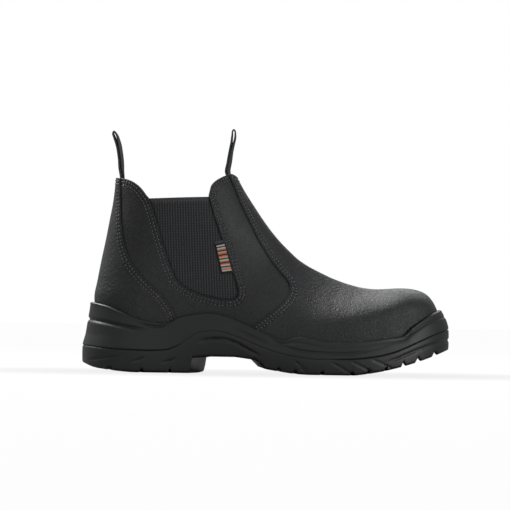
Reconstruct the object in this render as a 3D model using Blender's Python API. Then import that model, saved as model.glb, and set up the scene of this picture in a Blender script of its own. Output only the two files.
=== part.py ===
"""Side gore work boot for the right foot, empty and standing on its sole.

The boot's own frame is in millimetres: x runs from the heel to the toe, y is positive on the inner (medial)
side, z is up from the floor. One last function gives the outside of the foot form at any place in the side
view, and every piece is worked out from it. The outer (lateral) side is at -y.
"""

import math

import bmesh
import bpy
import numpy as np
from mathutils import Vector

MM = 0.001
LATERAL, MEDIAL = -1, 1

# Thicknesses and gaps, in millimetres
WALL = 2.4  # lined leather of the upper
GORE = 1.8  # elastic webbing
GORE_DEPTH = 0.7  # how far the elastic lies below the leather's face
GAP = 0.3  # between pieces that are sewn or glued together
JOINT_GAP = 0.6  # measured upwards between midsole and outsole
JOINT_INSET = 6.4  # how far in from the edge the joint reaches its lower level
CUP_GAP = 0.4  # between the upper and the sole that is moulded round it
LIP = 3.2  # the sole's top edge, beyond the last
INSOLE = 4.0
WEBBING = 1.3
WEBBING_WIDTH = 17.0
GROOVE_DEPTH = 4.5

# Moves the finished boot so that the middle of its footprint is at the origin
CENTRE = Vector((0.3, 0.7, 0.0))

# Lengths of the last, in millimetres
TIP_X = 146.0
TOE_ROUND = 62.0
TOE_SQUARENESS = 2.35
UNDER = 14.0  # how far the last's form runs on below the feather line
UNDER_ROUND = 10.0
FOOT_ENDS = 55.0  # up to this height the foot's plan sets the width
LEG_BEGINS = 105.0  # and from here the leg does

# How finely the pieces are cut into facets
STATIONS = 34  # from heel to toe on each side of the sole
AROUND = 11  # from ridge to base on each side of the upper
FIRST_LEG_RING = 17  # the rings from here on pass through the elastic


def table(text):
    """A table whose first line names its columns."""
    lines = [line.split() for line in text.strip().splitlines()]
    numbers = np.array([[float(word) for word in line] for line in lines[1:]])
    return dict(zip(lines[0], numbers.T))


def follow(xs, ys):
    """A smooth function through the points, which never overshoots them."""
    order = np.argsort(xs)
    xs, ys = np.asarray(xs, float)[order], np.asarray(ys, float)[order]
    slope = np.diff(ys) / np.diff(xs)
    both = slope[:-1] * slope[1:]
    total = np.where(both > 0, slope[:-1] + slope[1:], 1)
    inner = np.where(both > 0, 2 * both / total, 0)
    grade = np.concatenate([slope[:1], inner, slope[-1:]])

    def at(x):
        x = np.clip(x, xs[0], xs[-1])
        i = np.clip(np.searchsorted(xs, x) - 1, 0, len(xs) - 2)
        run = xs[i + 1] - xs[i]
        t = (x - xs[i]) / run
        rise = (ys[i + 1] - ys[i]) * t * t * (3 - 2 * t)
        lean = run * t * (1 - t) * (grade[i] * (1 - t) - grade[i + 1] * t)
        return ys[i] + rise + lean

    return at


def smooth_path(points, count):
    """That many points, evenly spread, on a natural cubic spline through the given ones."""
    points = np.asarray(points, float)
    knots = np.concatenate([[0], np.cumsum(np.linalg.norm(np.diff(points, axis=0), axis=1))])
    step = np.diff(knots)
    size = len(points)
    matrix = np.eye(size)
    right = np.zeros_like(points)
    for i in range(1, size - 1):
        matrix[i, i - 1 : i + 2] = step[i - 1], 2 * (step[i - 1] + step[i]), step[i]
        right[i] = 6 * ((points[i + 1] - points[i]) / step[i] - (points[i] - points[i - 1]) / step[i - 1])
    bend = np.linalg.solve(matrix, right)
    where = np.linspace(0, knots[-1], count)
    i = np.clip(np.searchsorted(knots, where) - 1, 0, size - 2)
    run = step[i][:, None]
    after = ((where - knots[i]) / step[i])[:, None]
    before = 1 - after
    curved = (before**3 - before) * bend[i] + (after**3 - after) * bend[i + 1]
    return before * points[i] + after * points[i + 1] + curved * run**2 / 6


def rounded(distance, radius, squareness=2.0):
    """0 at an edge and 1 from one radius inside it, as the quarter of a (super)ellipse."""
    left = np.clip(1 - distance / radius, 0, 1)
    return (1 - left**squareness) ** (1 / squareness)


def spread(share, roof, corner):
    """How much of its half width a section has, at a share of the way from the ridge to the shoulder."""
    share = np.maximum(share, 1e-6)
    return (share ** (-roof * corner) + 1) ** (-1 / corner)


def eased(value, low, high):
    t = np.clip((value - low) / (high - low), 0, 1)
    return t * t * (3 - 2 * t)


# The ridge of the last in the side view: up the toe, along the vamp and up the front of the leg
RIDGE = [
    (146.0, 38.0), (145.8, 42.0), (144.9, 48.5), (142.7, 55.5), (138.9, 62.6), (133.4, 68.3), (124.5, 71.8),
    (111.6, 72.9), (95.0, 71.9), (86.0, 72.1), (78.2, 73.3), (61.5, 77.9), (44.7, 85.0), (27.9, 94.6),
    (19.0, 102.3), (11.0, 110.4), (2.2, 120.8), (-6.1, 132.2), (-12.8, 142.3), (-18.9, 151.8), (-26.2, 164.9),
    (-35.0, 180.5),
]
BACK = table("""
      z       x
   15.0  -138.2
   31.0  -140.2
   47.0  -142.0
   62.0  -143.3
   76.0  -140.9
   93.0  -137.8
  110.0  -134.4
  126.6  -131.4
  143.4  -128.5
  160.0  -126.9
  178.0  -125.9
""")
# Half widths of the last's plan before its ends are rounded, and how far its middle swings to the inside
PLAN = table("""
       x  lateral  medial  swing
  -141.0     35.5    34.5    0.0
  -105.0     36.0    34.0    0.0
   -65.0     37.0    31.0    0.0
   -30.0     40.0    29.5    0.0
     5.0     45.5    34.5    0.0
    40.0     50.0    42.5    0.3
    70.0     50.5    46.5    1.2
   100.0     48.0    46.0    2.8
   125.0     46.0    45.0    4.0
   146.0     45.0    44.0    5.0
""")
LEG = table("""
      z  lateral  medial  back_round
   31.0     36.0    34.0        38.0
   70.0     35.5    34.0        42.0
   95.0     35.5    34.5        46.0
  125.0     37.5    36.5        52.0
  178.0     38.5    37.5        54.0
""")
# The sole's heights along the boot: the feather line where the upper meets it, the joint between midsole
# and outsole, the sole's top edge and the ground side
FEATHER = table("""
       x     z
  -141.0  31.0
   -95.0  29.8
   -50.0  27.0
   -15.0  22.5
    15.0  18.3
    46.0  16.5
    80.0  17.6
   112.0  22.8
   146.0  31.5
""")
JOINT = table("""
       x     z
  -152.0  23.5
  -120.0  19.3
   -90.0  18.4
   -50.0  19.6
   -20.0  18.4
    10.0  13.4
    46.0  11.0
    80.0  11.8
   112.0  16.6
   152.0  27.5
""")
JOINT_EDGE = table("""
       x     z
  -151.0  25.3
  -138.0  21.4
  -121.0  19.2
   -96.0  18.3
   -84.0  18.8
   -73.0  22.4
   -63.0  29.1
   -55.0  33.6
   -43.0  35.2
   -34.0  34.0
   -21.0  30.0
    -4.5  23.3
    12.0  17.7
    29.0  14.2
    46.0  12.8
    67.0  13.1
    88.0  15.2
   104.0  19.1
   121.0  26.8
   137.0  35.0
   151.0  41.2
""")
TOP_EDGE = table("""
       x     z
  -144.0  58.0
  -132.0  55.3
  -121.0  50.6
  -108.0  45.0
   -96.0  42.4
   -83.0  41.2
   -75.0  45.2
   -62.0  48.6
   -47.0  50.3
   -34.0  48.0
   -18.0  42.0
     0.0  33.8
    16.0  28.2
    22.0  30.4
    29.0  31.3
    41.0  29.0
    55.0  27.2
    75.0  27.8
   100.0  31.1
   114.0  33.8
   121.0  40.6
   130.0  47.4
   144.0  56.0
""")
GROUND = table("""
       x     z
  -152.0   7.6
  -142.0   3.6
  -133.0   2.2
  -121.0   0.8
  -108.0   0.0
   -57.0   0.0
   -45.0   2.5
    -8.0   5.6
     4.0   3.6
    12.5   2.3
    21.0   1.1
    30.0   0.3
    37.0   0.0
    72.0   0.0
    84.0   1.3
    98.0   3.8
   111.0   7.0
   123.0  10.6
   137.0  15.6
   152.0  22.0
""")
KICK = table("""
       x     z  depth
  -148.0  44.3    1.9
  -134.0  42.3    1.9
  -113.0  37.6    1.6
   -98.0  35.0    0.0
   -60.0  42.0    0.0
   -40.0  43.5    0.0
    15.0  24.0    0.0
    46.0  22.0    0.0
   100.0  26.0    0.0
   121.0  35.5    0.0
   150.0  48.5    0.0
""")
FLARE = table("""
       x  beyond
  -141.0    12.4
  -110.0     8.4
   -60.0     6.2
   100.0     6.0
   146.0     5.9
""")
# The sections: where each leaves the ridge and how far along the base it ends (from the toe tip under the
# foot and up the back of the heel). Down to its shoulder a section spreads like a roof, round where the roof
# is 0.5 and straight where it is 1, and a high corner turns sharply into the side there
SECTIONS = table("""
  ridge_x  base_run  shoulder  roof  corner
    146.0       0.0       9.0  0.50     5.0
    136.0      10.0      11.0  0.50     5.5
    120.0      26.0      12.0  0.50     6.5
    105.0      41.0      14.9  0.54     7.0
     89.0      57.0      19.2  0.64     7.0
     72.0      75.0      25.3  0.76     7.5
     55.0      96.0      34.0  0.82     7.5
     39.0     119.0      44.0  0.80     7.0
     25.0     145.0      48.5  0.70     6.0
     12.0     180.0      47.5  0.60     5.5
      2.0     220.0      43.0  0.54     5.0
     -5.0     258.0      39.0  0.51     5.0
     -9.0     286.0      36.0  0.50     5.0
    -13.0     318.0      34.0  0.50     5.0
    -18.5     362.0      32.0  0.50     5.0
    -26.0     412.0      30.0  0.50     5.0
    -34.5     448.0      29.0  0.50     5.0
""")

ridge_line = smooth_path(RIDGE, 400)
back_x = follow(BACK["z"], BACK["x"])
feather_z = follow(FEATHER["x"], FEATHER["z"])
joint_z = follow(JOINT["x"], JOINT["z"])
joint_edge_z = follow(JOINT_EDGE["x"], JOINT_EDGE["z"])
top_edge_z = follow(TOP_EDGE["x"], TOP_EDGE["z"])
ground_z = follow(GROUND["x"], GROUND["z"])
flare = follow(FLARE["x"], FLARE["beyond"])
kick_z = follow(KICK["x"], KICK["z"])
kick_depth = follow(KICK["x"], KICK["depth"])
plan_width = {
    LATERAL: follow(PLAN["x"], PLAN["lateral"]),
    MEDIAL: follow(PLAN["x"], PLAN["medial"]),
}
leg_width = {
    LATERAL: follow(LEG["z"], LEG["lateral"]),
    MEDIAL: follow(LEG["z"], LEG["medial"]),
}
back_round = follow(LEG["z"], LEG["back_round"])
swing = follow(PLAN["x"], PLAN["swing"])
base_run_of = follow(SECTIONS["ridge_x"], SECTIONS["base_run"])
shoulder_of = follow(SECTIONS["ridge_x"], SECTIONS["shoulder"])
roof_of = follow(SECTIONS["ridge_x"], SECTIONS["roof"])
corner_of = follow(SECTIONS["ridge_x"], SECTIONS["corner"])


def ridge_z(x):
    return np.interp(-x, -ridge_line[:, 0], ridge_line[:, 1])


def front_x(z):
    """How far forward the last reaches at a height."""
    toe = ridge_line[: int(np.argmax(ridge_line[:, 0] < 115.0))]
    return np.interp(z, toe[:, 1], toe[:, 0])


def under_z(x):
    return feather_z(x) - UNDER


def base_point(run):
    """The end of a section: under the foot from the toe tip to the heel, then up the back."""
    heel_x = back_x(under_z(-140.0))
    length = TIP_X - heel_x
    under_foot = np.clip(run, 0, length)
    x = TIP_X - under_foot
    z = under_z(x) + np.maximum(run - length, 0)
    return np.where(run > length, back_x(z), x), z


fan_x = ridge_line[:, 0]
fan_z = ridge_line[:, 1]
fan_base_x, fan_base_z = base_point(base_run_of(fan_x))


def from_ridge(x, z):
    """The ridge_x of the section through a place in the side view, and its distance from the ridge."""
    turn = (fan_base_x - fan_x) * (z - fan_z) - (fan_base_z - fan_z) * (x - fan_x)
    i = int(np.argmax(turn > 0)) if (turn > 0).any() else len(turn) - 1
    share = 0.0
    if i > 0:
        share = -turn[i - 1] / (turn[i] - turn[i - 1])
        i -= 1
    nearest = ridge_line[i] + share * (ridge_line[min(i + 1, len(ridge_line) - 1)] - ridge_line[i])
    return nearest[0], math.hypot(x - nearest[0], z - nearest[1])


def half_width(x, z, side, ridge_x, depth):
    """The last's reach from its middle, at a place in the side view that lies that deep below the ridge."""
    leg_share = eased(z, FOOT_ENDS, LEG_BEGINS)
    width = plan_width[side](x) * (1 - leg_share) + leg_width[side](z) * leg_share
    width = width * rounded(x - back_x(z), back_round(z), 2.15)
    width = width * rounded(TIP_X - x, TOE_ROUND, TOE_SQUARENESS)
    width = width * rounded(z - under_z(x), UNDER_ROUND)
    return width * spread(depth / shoulder_of(ridge_x), roof_of(ridge_x), corner_of(ridge_x))


def last_y(x, z, side):
    """The last's surface, on one side, at a place in the side view."""
    ridge_x, depth = from_ridge(x, z)
    return float(swing(x) + side * half_width(x, z, side, ridge_x, depth))


def section_starts():
    """Where the sections leave the ridge: close together round the toe and round the heel."""
    toe = [TIP_X - TOE_ROUND * (1 - math.cos(math.radians(angle))) for angle in (0, 6, 13, 21, 30, 40, 51, 63, 76)]
    foot = [90.0, 81.0, 72.0, 63.0, 54.0, 45.0, 36.0, 28.0, 20.0, 13.0, 7.0, 2.0, -1.5]
    heel = [-4.0, -6.0, -7.6, -8.6, -9.3, -10.3, -12.0]
    leg = [-14.0, -16.5, -19.5, -23.0, -27.0, -31.0, -34.8]
    return toe + foot + heel + leg


def last_grid():
    """The last as rings, one for each section, from the ridge down the lateral side and up the medial one."""
    shares = (1 - np.cos(np.pi * np.arange(AROUND + 1) / AROUND)) / 2
    rings = []
    for start in section_starts():
        top = np.array([start, ridge_z(start)])
        base = np.array(base_point(base_run_of(start)))
        places = top + shares[:, None] * (base - top)
        depths = shares * np.linalg.norm(base - top)
        ring = []
        for side, order in ((LATERAL, range(AROUND + 1)), (MEDIAL, range(AROUND - 1, 0, -1))):
            for j in order:
                x, z = places[j]
                y = swing(x) + side * half_width(x, z, side, start, depths[j])
                ring.append((x, y, z))
        rings.append(ring)
    return np.array(rings, float)


def outward(grid):
    """Unit normals of the rings' surface, pointing out of the boot."""
    along = np.gradient(grid, axis=0)
    round_it = np.roll(grid, -1, axis=1) - np.roll(grid, 1, axis=1)
    normal = np.cross(along, round_it)
    normal[0] = (1, 0, 0)
    middle = grid.mean(axis=1, keepdims=True)
    normal *= np.sign((normal * (grid - middle)).sum(axis=2, keepdims=True))
    normal[0] = (1, 0, 0)
    return normal / np.maximum(np.linalg.norm(normal, axis=2, keepdims=True), 1e-9)


def material(name, colour, roughness, metallic=0.0):
    made = bpy.data.materials.new(name)
    made.use_nodes = True
    shader = made.node_tree.nodes["Principled BSDF"]
    shader.inputs["Base Color"].default_value = (*colour, 1)
    shader.inputs["Roughness"].default_value = roughness
    shader.inputs["Metallic"].default_value = metallic
    return made


def solid(name, points, faces, finish=None):
    """A closed mesh object from points in the boot's millimetres."""
    mesh = bpy.data.meshes.new(name)
    mesh.from_pydata([(Vector(p) + CENTRE) * MM for p in points], [], faces)
    edit = bmesh.new()
    edit.from_mesh(mesh)
    bmesh.ops.remove_doubles(edit, verts=edit.verts, dist=0.01 * MM)
    bmesh.ops.dissolve_degenerate(edit, edges=edit.edges, dist=0.001 * MM)
    bmesh.ops.recalc_face_normals(edit, faces=edit.faces)
    if edit.calc_volume(signed=True) < 0:
        bmesh.ops.reverse_faces(edit, faces=edit.faces)
    edit.to_mesh(mesh)
    edit.free()
    made = bpy.data.objects.new(name, mesh)
    bpy.context.scene.collection.objects.link(made)
    made.parent = boot
    if finish:
        mesh.materials.append(finish)
        mesh.shade_smooth()
        mesh.set_sharp_from_angle(angle=math.radians(35))
    return made


def cutter(name, points, faces):
    made = solid(name, points, faces)
    made.hide_render = True
    made.display_type = "WIRE"
    return made


def side_prism(name, outline, y_from, y_to, medial_outline=None):
    """A cutter whose outline is drawn in the side view."""
    other = outline if medial_outline is None else medial_outline
    count = len(outline)
    points = [(x, y_from, z) for x, z in outline] + [(x, y_to, z) for x, z in other]
    faces = [tuple(range(count)), tuple(range(2 * count - 1, count - 1, -1))]
    faces += [(i, (i + 1) % count, count + (i + 1) % count, count + i) for i in range(count)]
    return cutter(name, points, faces)


def cut(piece, tool, operation="DIFFERENCE"):
    step = piece.modifiers.new(operation.lower() + "_" + tool.name, "BOOLEAN")
    step.operation = operation
    step.object = tool
    step.solver = "EXACT"


def band(first, around, turn=1):
    """The triangles between one ring of points and the next, always split along the same diagonal."""
    faces = []
    for j in range(around):
        a, b = first + j, first + (j + 1) % around
        faces += [(a, b, b + around)[::turn], (a, b + around, a + around)[::turn]]
    return faces


def shell(name, outer, inner, finish, first=0):
    """The wall between two offsets of the last, open at the collar, from the toe or from a later ring on."""
    grid = last_grid()
    normals = outward(grid)[first:]
    grid = grid[first:]
    rows, around = grid.shape[:2]
    points = [tuple(p) for offset in (outer, inner) for p in (grid + normals * offset).reshape(-1, 3)]
    half = rows * around
    faces = []
    for i in range(rows - 1):
        faces += band(i * around, around) + band(half + i * around, around, -1)
    for end in [(rows - 1) * around] + ([0] if first else []):
        for j in range(around):
            a, b = end + j, end + (j + 1) % around
            faces.append((a, b, half + b, half + a))
    return solid(name, points, faces, finish)


def sole_ring(height_of, beyond_of, lift=0.0):
    """A ring of the sole: stations from the heel along the lateral side to the toe and back."""
    shares = (1 - np.cos(np.pi * np.arange(STATIONS + 1) / STATIONS)) / 2
    ring = []
    order = [(LATERAL, i) for i in range(STATIONS + 1)] + [(MEDIAL, i) for i in range(STATIONS - 1, 0, -1)]
    for side, i in order:
        x = back_x(31.0) + shares[i] * (TIP_X - back_x(31.0))
        z = height_of(x)
        held = max(z, feather_z(x))
        x = back_x(held) + shares[i] * (front_x(held) - back_x(held))
        z = height_of(x)
        held = max(z, feather_z(x))
        ring.append((x, last_y(x, held, side), z))
    ring = np.array(ring, float)
    tangent = np.roll(ring, -1, axis=0) - np.roll(ring, 1, axis=0)
    normal = np.stack([tangent[:, 1], -tangent[:, 0]], axis=1)
    normal /= np.linalg.norm(normal, axis=1, keepdims=True)
    if normal[0, 0] > 0:
        normal = -normal
    beyond = np.array([float(beyond_of(x)) for x in ring[:, 0]])
    ring[:, :2] += normal * beyond[:, None]
    ring[:, 2] += lift
    return ring


def ring_stack(name, rings, finish):
    """A closed body through the rings, with its first and last ring filled straight across."""
    around = 2 * STATIONS
    points = [tuple(p) for ring in rings for p in ring]
    faces = []
    for k in range(len(rings) - 1):
        faces += band(k * around, around)
    for start, turn in ((0, 1), ((len(rings) - 1) * around, -1)):
        for i in range(STATIONS):
            lateral, lateral_next = start + i, start + i + 1
            medial, medial_next = start + (around - i) % around, start + (around - i - 1) % around
            face = [lateral, lateral_next, medial_next, medial]
            face = [corner for k, corner in enumerate(face) if corner not in face[:k]]
            halves = [face] if len(face) == 3 else [face[:3], [face[0], face[2], face[3]]]
            faces += [tuple(half[::turn]) for half in halves]
    return solid(name, points, faces, finish)


def lofted_band(name, columns, sections, finish=None):
    """A closed body through sections that all have the same number of corners."""
    count = len(sections[0])
    points = [tuple(p) for section in sections for p in section]
    faces = [tuple(range(count)), tuple(range((columns - 1) * count, columns * count))[::-1]]
    for k in range(columns - 1):
        for j in range(count):
            a, b = k * count + j, k * count + (j + 1) % count
            faces.append((a, b, b + count, a + count))
    return solid(name, points, faces, finish)


def cut_floor(name, height_of, low=-40.0):
    """A cutter for everything under a height that changes along the boot."""
    xs = np.linspace(-175.0, 175.0, 36)
    line = [(x, float(height_of(x))) for x in xs]
    return side_prism(name, line + [(175.0, low), (-175.0, low)], -90.0, 90.0)


# Edges drawn in the side view, front to back
COLLAR = [
    (-16.0, 160.5), (-26.2, 164.9), (-29.1, 167.2), (-34.5, 165.3), (-41.1, 161.8), (-45.2, 158.4),
    (-47.3, 155.0), (-48.4, 147.0), (-61.0, 147.0), (-80.0, 146.0), (-99.4, 144.6), (-102.4, 148.3),
    (-106.5, 153.7), (-112.4, 158.3), (-118.0, 160.6), (-126.0, 161.8), (-140.0, 162.0),
]
GORE_EDGE = [
    (-48.4, 147.0), (-43.6, 130.4), (-37.9, 113.8), (-31.4, 96.4), (-25.3, 77.3), (-22.8, 68.6), (-22.8, 64.4),
    (-25.4, 61.8), (-31.7, 61.2), (-40.1, 61.8), (-48.5, 63.6), (-56.8, 65.9), (-63.6, 68.8), (-69.8, 72.4),
    (-75.8, 77.8), (-80.5, 89.0), (-85.8, 103.9), (-91.0, 120.5), (-95.2, 134.0), (-99.4, 144.6),
]
# The arch under the boot, at the ends of its cutter, whose faces slant from one side to the other
ARCH_REACH = 58.0
ARCH = [(-67.3, -4.0), (-64.3, 6.4), (-63.3, 12.6), (-48.0, 13.9), (-25.2, 13.9), (-7.0, 11.6), (-0.5, 6.6), (2.5, -4.0)]
ARCH_MEDIAL = [
    (-48.6, -4.0), (-46.3, 6.4), (-45.4, 12.6), (-40.0, 13.9), (-25.2, 13.9), (-13.5, 11.6), (-8.6, 6.6), (-5.5, -4.0),
]
# Tread grooves: where each crosses the middle of the boot, how far its outer ends lean forward, its width
# and how much of the sole's width it takes
GROOVES = table("""
  middle   lean  width  reach
  -133.0    5.0    3.4   70.0
  -109.0    6.0    3.4   70.0
   -85.0    6.0    3.4   70.0
     6.5    4.0    3.0   70.0
    17.5    6.0    3.4   70.0
    38.0    7.0    3.6   70.0
    63.0    7.0    3.6   70.0
    77.0    7.0    3.4   70.0
    93.0    6.0    3.6   70.0
   108.0    4.5    3.6   70.0
   124.0    2.5    3.6   70.0
   141.0   -1.8    3.4   70.0
""")


def inset(outline, amount):
    """The outline drawn in by an amount, for a piece that fits inside a cut-out."""
    points = np.array(outline, float)
    before = points - np.roll(points, 1, axis=0)
    after = np.roll(points, -1, axis=0) - points
    before /= np.linalg.norm(before, axis=1, keepdims=True)
    after /= np.linalg.norm(after, axis=1, keepdims=True)
    bisector = before + after
    bisector /= np.linalg.norm(bisector, axis=1, keepdims=True)
    normal = np.stack([bisector[:, 1], -bisector[:, 0]], axis=1)
    area = (points[:, 0] * np.roll(points[:, 1], -1) - np.roll(points[:, 0], -1) * points[:, 1]).sum()
    stretch = np.clip((bisector * before).sum(axis=1), 0.5, 1)
    return points - normal * (np.sign(area) * amount / stretch)[:, None]


def upper():
    made = shell("upper", 0.0, -WALL, leather)
    cut(made, cut_floor("below_feather", feather_z))
    cut(made, side_prism("above_collar", COLLAR + [(-140.0, 215.0), (0.0, 215.0), (0.0, 157.0)], -90.0, 90.0))
    cut(made, side_prism("gore_opening", GORE_EDGE + [(-99.4, 155.0), (-48.4, 155.0)], -90.0, 90.0))
    return made


def gore(side):
    name = "gore_lateral" if side == LATERAL else "gore_medial"
    made = shell(name, -GORE_DEPTH, -GORE_DEPTH - GORE, elastic, FIRST_LEG_RING)
    outline = inset(GORE_EDGE, GAP)
    reach = (-90.0, -4.0) if side == LATERAL else (4.0, 90.0)
    cut(made, side_prism(name + "_outline", outline, *reach), "INTERSECT")
    return made


def well():
    """The form the cup of the midsole is moulded round."""
    grid = last_grid()
    grid = grid + outward(grid) * CUP_GAP
    rows, around = grid.shape[:2]
    points = [tuple(p) for p in grid.reshape(-1, 3)]
    faces = [tuple(range((rows - 1) * around, rows * around))]
    for i in range(rows - 1):
        faces += band(i * around, around)
    made = cutter("well", points, faces)
    cut(made, cut_floor("below_well", lambda x: feather_z(x) - CUP_GAP))
    return made


def midsole():
    upper_bulge = lambda x: (kick_z(x) + 2.4) * 0.5 + (top_edge_z(x) - 1.6) * 0.5
    kick_beyond = lambda x: flare(x) * 0.72
    rings = [
        sole_ring(joint_z, lambda x: flare(x) - JOINT_INSET, JOINT_GAP),
        sole_ring(joint_edge_z, flare, JOINT_GAP),
        sole_ring(lambda x: joint_edge_z(x) * 0.5 + kick_z(x) * 0.5, lambda x: flare(x) * 0.93),
        sole_ring(lambda x: kick_z(x) - 1.4, kick_beyond),
        sole_ring(kick_z, lambda x: kick_beyond(x) - kick_depth(x)),
        sole_ring(lambda x: kick_z(x) + 1.0, kick_beyond),
        sole_ring(upper_bulge, lambda x: flare(x) * 0.30 + 2.9),
        sole_ring(lambda x: top_edge_z(x) - 1.2, lambda x: LIP + 0.9),
        sole_ring(top_edge_z, lambda x: LIP),
        sole_ring(top_edge_z, lambda x: -3.0),
    ]
    made = ring_stack("midsole", rings, foam)
    cut(made, well())
    return made


def outsole():
    rings = [
        sole_ring(joint_z, lambda x: flare(x) - JOINT_INSET),
        sole_ring(joint_edge_z, flare),
        sole_ring(lambda x: ground_z(x) + 2.0, lambda x: flare(x) + 0.2),
        sole_ring(ground_z, lambda x: flare(x) - 1.8),
    ]
    made = ring_stack("outsole", rings, rubber)
    cut(made, side_prism("arch", ARCH, -ARCH_REACH, ARCH_REACH, ARCH_MEDIAL))
    points, faces = [], []
    for middle, lean, width, reach in zip(*GROOVES.values()):
        first = len(points)
        for y in (-reach, 0.0, reach):
            x = middle + lean * abs(y) / 40.0
            top = float(ground_z(x)) + GROOVE_DEPTH
            half = width / 2
            points += [(x - half, y, -20.0), (x + half, y, -20.0), (x + half - 0.5, y, top), (x - half + 0.5, y, top)]
        faces += [tuple(first + k for k in (0, 1, 2, 3)), tuple(first + k for k in (11, 10, 9, 8))]
        for k in (0, 4):
            faces += [(first + k + j, first + k + (j + 1) % 4, first + k + 4 + (j + 1) % 4, first + k + 4 + j)
                      for j in range(4)]
    cut(made, cutter("tread_grooves", points, faces))
    return made


def insole():
    edge = lambda x: -WALL - 1.8
    rings = [
        sole_ring(lambda x: feather_z(x) + GAP, edge),
        sole_ring(lambda x: feather_z(x) + INSOLE - 1.0, edge),
        sole_ring(lambda x: feather_z(x) + INSOLE, lambda x: edge(x) - 1.2),
    ]
    return ring_stack("insole", rings, felt)


# Pull loops in the side view: the line along the middle of the webbing, from its sewn end up and back down
LOOP_FRONT = [
    (-21.7, 146.0), (-26.7, 154.0), (-31.1, 162.0), (-33.4, 168.0), (-32.5, 174.0), (-32.0, 178.2), (-31.1, 186.5),
    (-30.5, 192.3), (-30.3, 196.5), (-30.1, 200.0), (-29.7, 202.4), (-28.9, 203.1), (-28.1, 202.3), (-27.6, 200.0),
    (-27.6, 196.5), (-28.3, 192.3), (-29.4, 186.5), (-30.4, 178.2), (-31.0, 174.0), (-31.8, 168.0), (-29.4, 162.0),
    (-25.0, 154.0), (-20.0, 146.0),
]
LOOP_REAR = [
    (-124.1, 146.0), (-123.3, 154.0), (-122.8, 161.0), (-123.4, 165.5), (-124.1, 170.0), (-124.4, 176.5),
    (-124.9, 181.0), (-125.4, 185.1), (-126.2, 189.3), (-127.7, 193.4), (-129.0, 196.7), (-129.5, 199.0),
    (-128.8, 200.3), (-127.6, 199.2), (-126.1, 196.7), (-125.1, 193.4), (-124.2, 189.3), (-123.6, 185.1),
    (-123.1, 181.0), (-122.7, 176.5), (-122.3, 170.0), (-121.7, 165.5), (-121.1, 161.0), (-121.7, 154.0),
    (-122.5, 146.0),
]


def pull_loop(name, middle_line, bow):
    """Webbing folded into a loop, bowed like the wall that it is sewn to."""
    path = smooth_path(middle_line, 54)
    along = np.gradient(path, axis=0)
    along /= np.linalg.norm(along, axis=1, keepdims=True)
    across = np.stack([-along[:, 1], along[:, 0]], axis=1) * WEBBING / 2
    sections = []
    for near, far in zip(path + across, path - across):
        low = eased(np.array(near[1]), 200.0, 168.0) if near[1] > 168 else 1.0
        section = []
        for edge, places in ((near, (-1, -0.5, 0, 0.5, 1)), (far, (1, 0.5, 0, -0.5, -1))):
            for place in places:
                y = place * WEBBING_WIDTH / 2
                section.append((edge[0] + bow * y * y * low, y, edge[1]))
        sections.append(section)
    return lofted_band(name, len(sections), sections, webbing)


for thing in list(bpy.data.objects):
    bpy.data.objects.remove(thing, do_unlink=True)

boot = bpy.data.objects.new("side_gore_boot", None)
bpy.context.scene.collection.objects.link(boot)

leather = material("leather_black", (0.018, 0.018, 0.019), 0.45)
elastic = material("elastic_black", (0.012, 0.012, 0.013), 0.80)
foam = material("midsole_black", (0.016, 0.016, 0.017), 0.42)
rubber = material("outsole_black", (0.014, 0.014, 0.015), 0.55)
felt = material("footbed_grey", (0.060, 0.060, 0.064), 0.90)
webbing = material("webbing_black", (0.012, 0.012, 0.013), 0.78)

outsole()
midsole()
upper()
gore(LATERAL)
gore(MEDIAL)
insole()
pull_loop("pull_loop_front", LOOP_FRONT, -0.027)
pull_loop("pull_loop_rear", LOOP_REAR, 0.016)
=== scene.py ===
# Side gore work boot for the right foot, black, empty and standing on its sole.
# Shapes are worked out in millimetres in the boot's own frame: x from the heel to the toe, y to the inner
# (medial) side, z up. The last, the foot form that such a boot is made over, gives a surface for each place of
# the side view, and the panels, the sole, the seams and the lining all follow it.
import math

import bmesh
import bpy
import numpy as np
from mathutils import Matrix, Vector
from mathutils.bvhtree import BVHTree
from mathutils.kdtree import KDTree


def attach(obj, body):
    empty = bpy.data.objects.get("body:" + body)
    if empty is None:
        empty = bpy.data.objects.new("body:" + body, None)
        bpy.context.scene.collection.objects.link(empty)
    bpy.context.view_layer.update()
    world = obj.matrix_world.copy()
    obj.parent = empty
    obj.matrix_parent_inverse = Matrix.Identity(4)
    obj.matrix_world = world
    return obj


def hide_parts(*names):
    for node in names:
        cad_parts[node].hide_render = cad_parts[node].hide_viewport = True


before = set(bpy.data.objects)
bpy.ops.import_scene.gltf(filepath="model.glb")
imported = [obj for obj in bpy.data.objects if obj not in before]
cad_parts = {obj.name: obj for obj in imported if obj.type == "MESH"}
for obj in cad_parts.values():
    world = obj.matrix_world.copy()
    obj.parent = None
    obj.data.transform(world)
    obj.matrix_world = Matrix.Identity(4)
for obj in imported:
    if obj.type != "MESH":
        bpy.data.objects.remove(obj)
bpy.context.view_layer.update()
print("frame loaded:", ", ".join(sorted(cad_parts)))

mm = 0.001
centre = np.array((0.3, 0.7, 0.0))  # puts the middle of the footprint at the origin, as the CAD does
lateral, medial = -1, 1


# Small helpers for curves and tables

def table(text):
    lines = [line.split() for line in text.strip().splitlines()]
    numbers = np.array([[float(word) for word in line] for line in lines[1:]])
    return dict(zip(lines[0], numbers.T))


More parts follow.
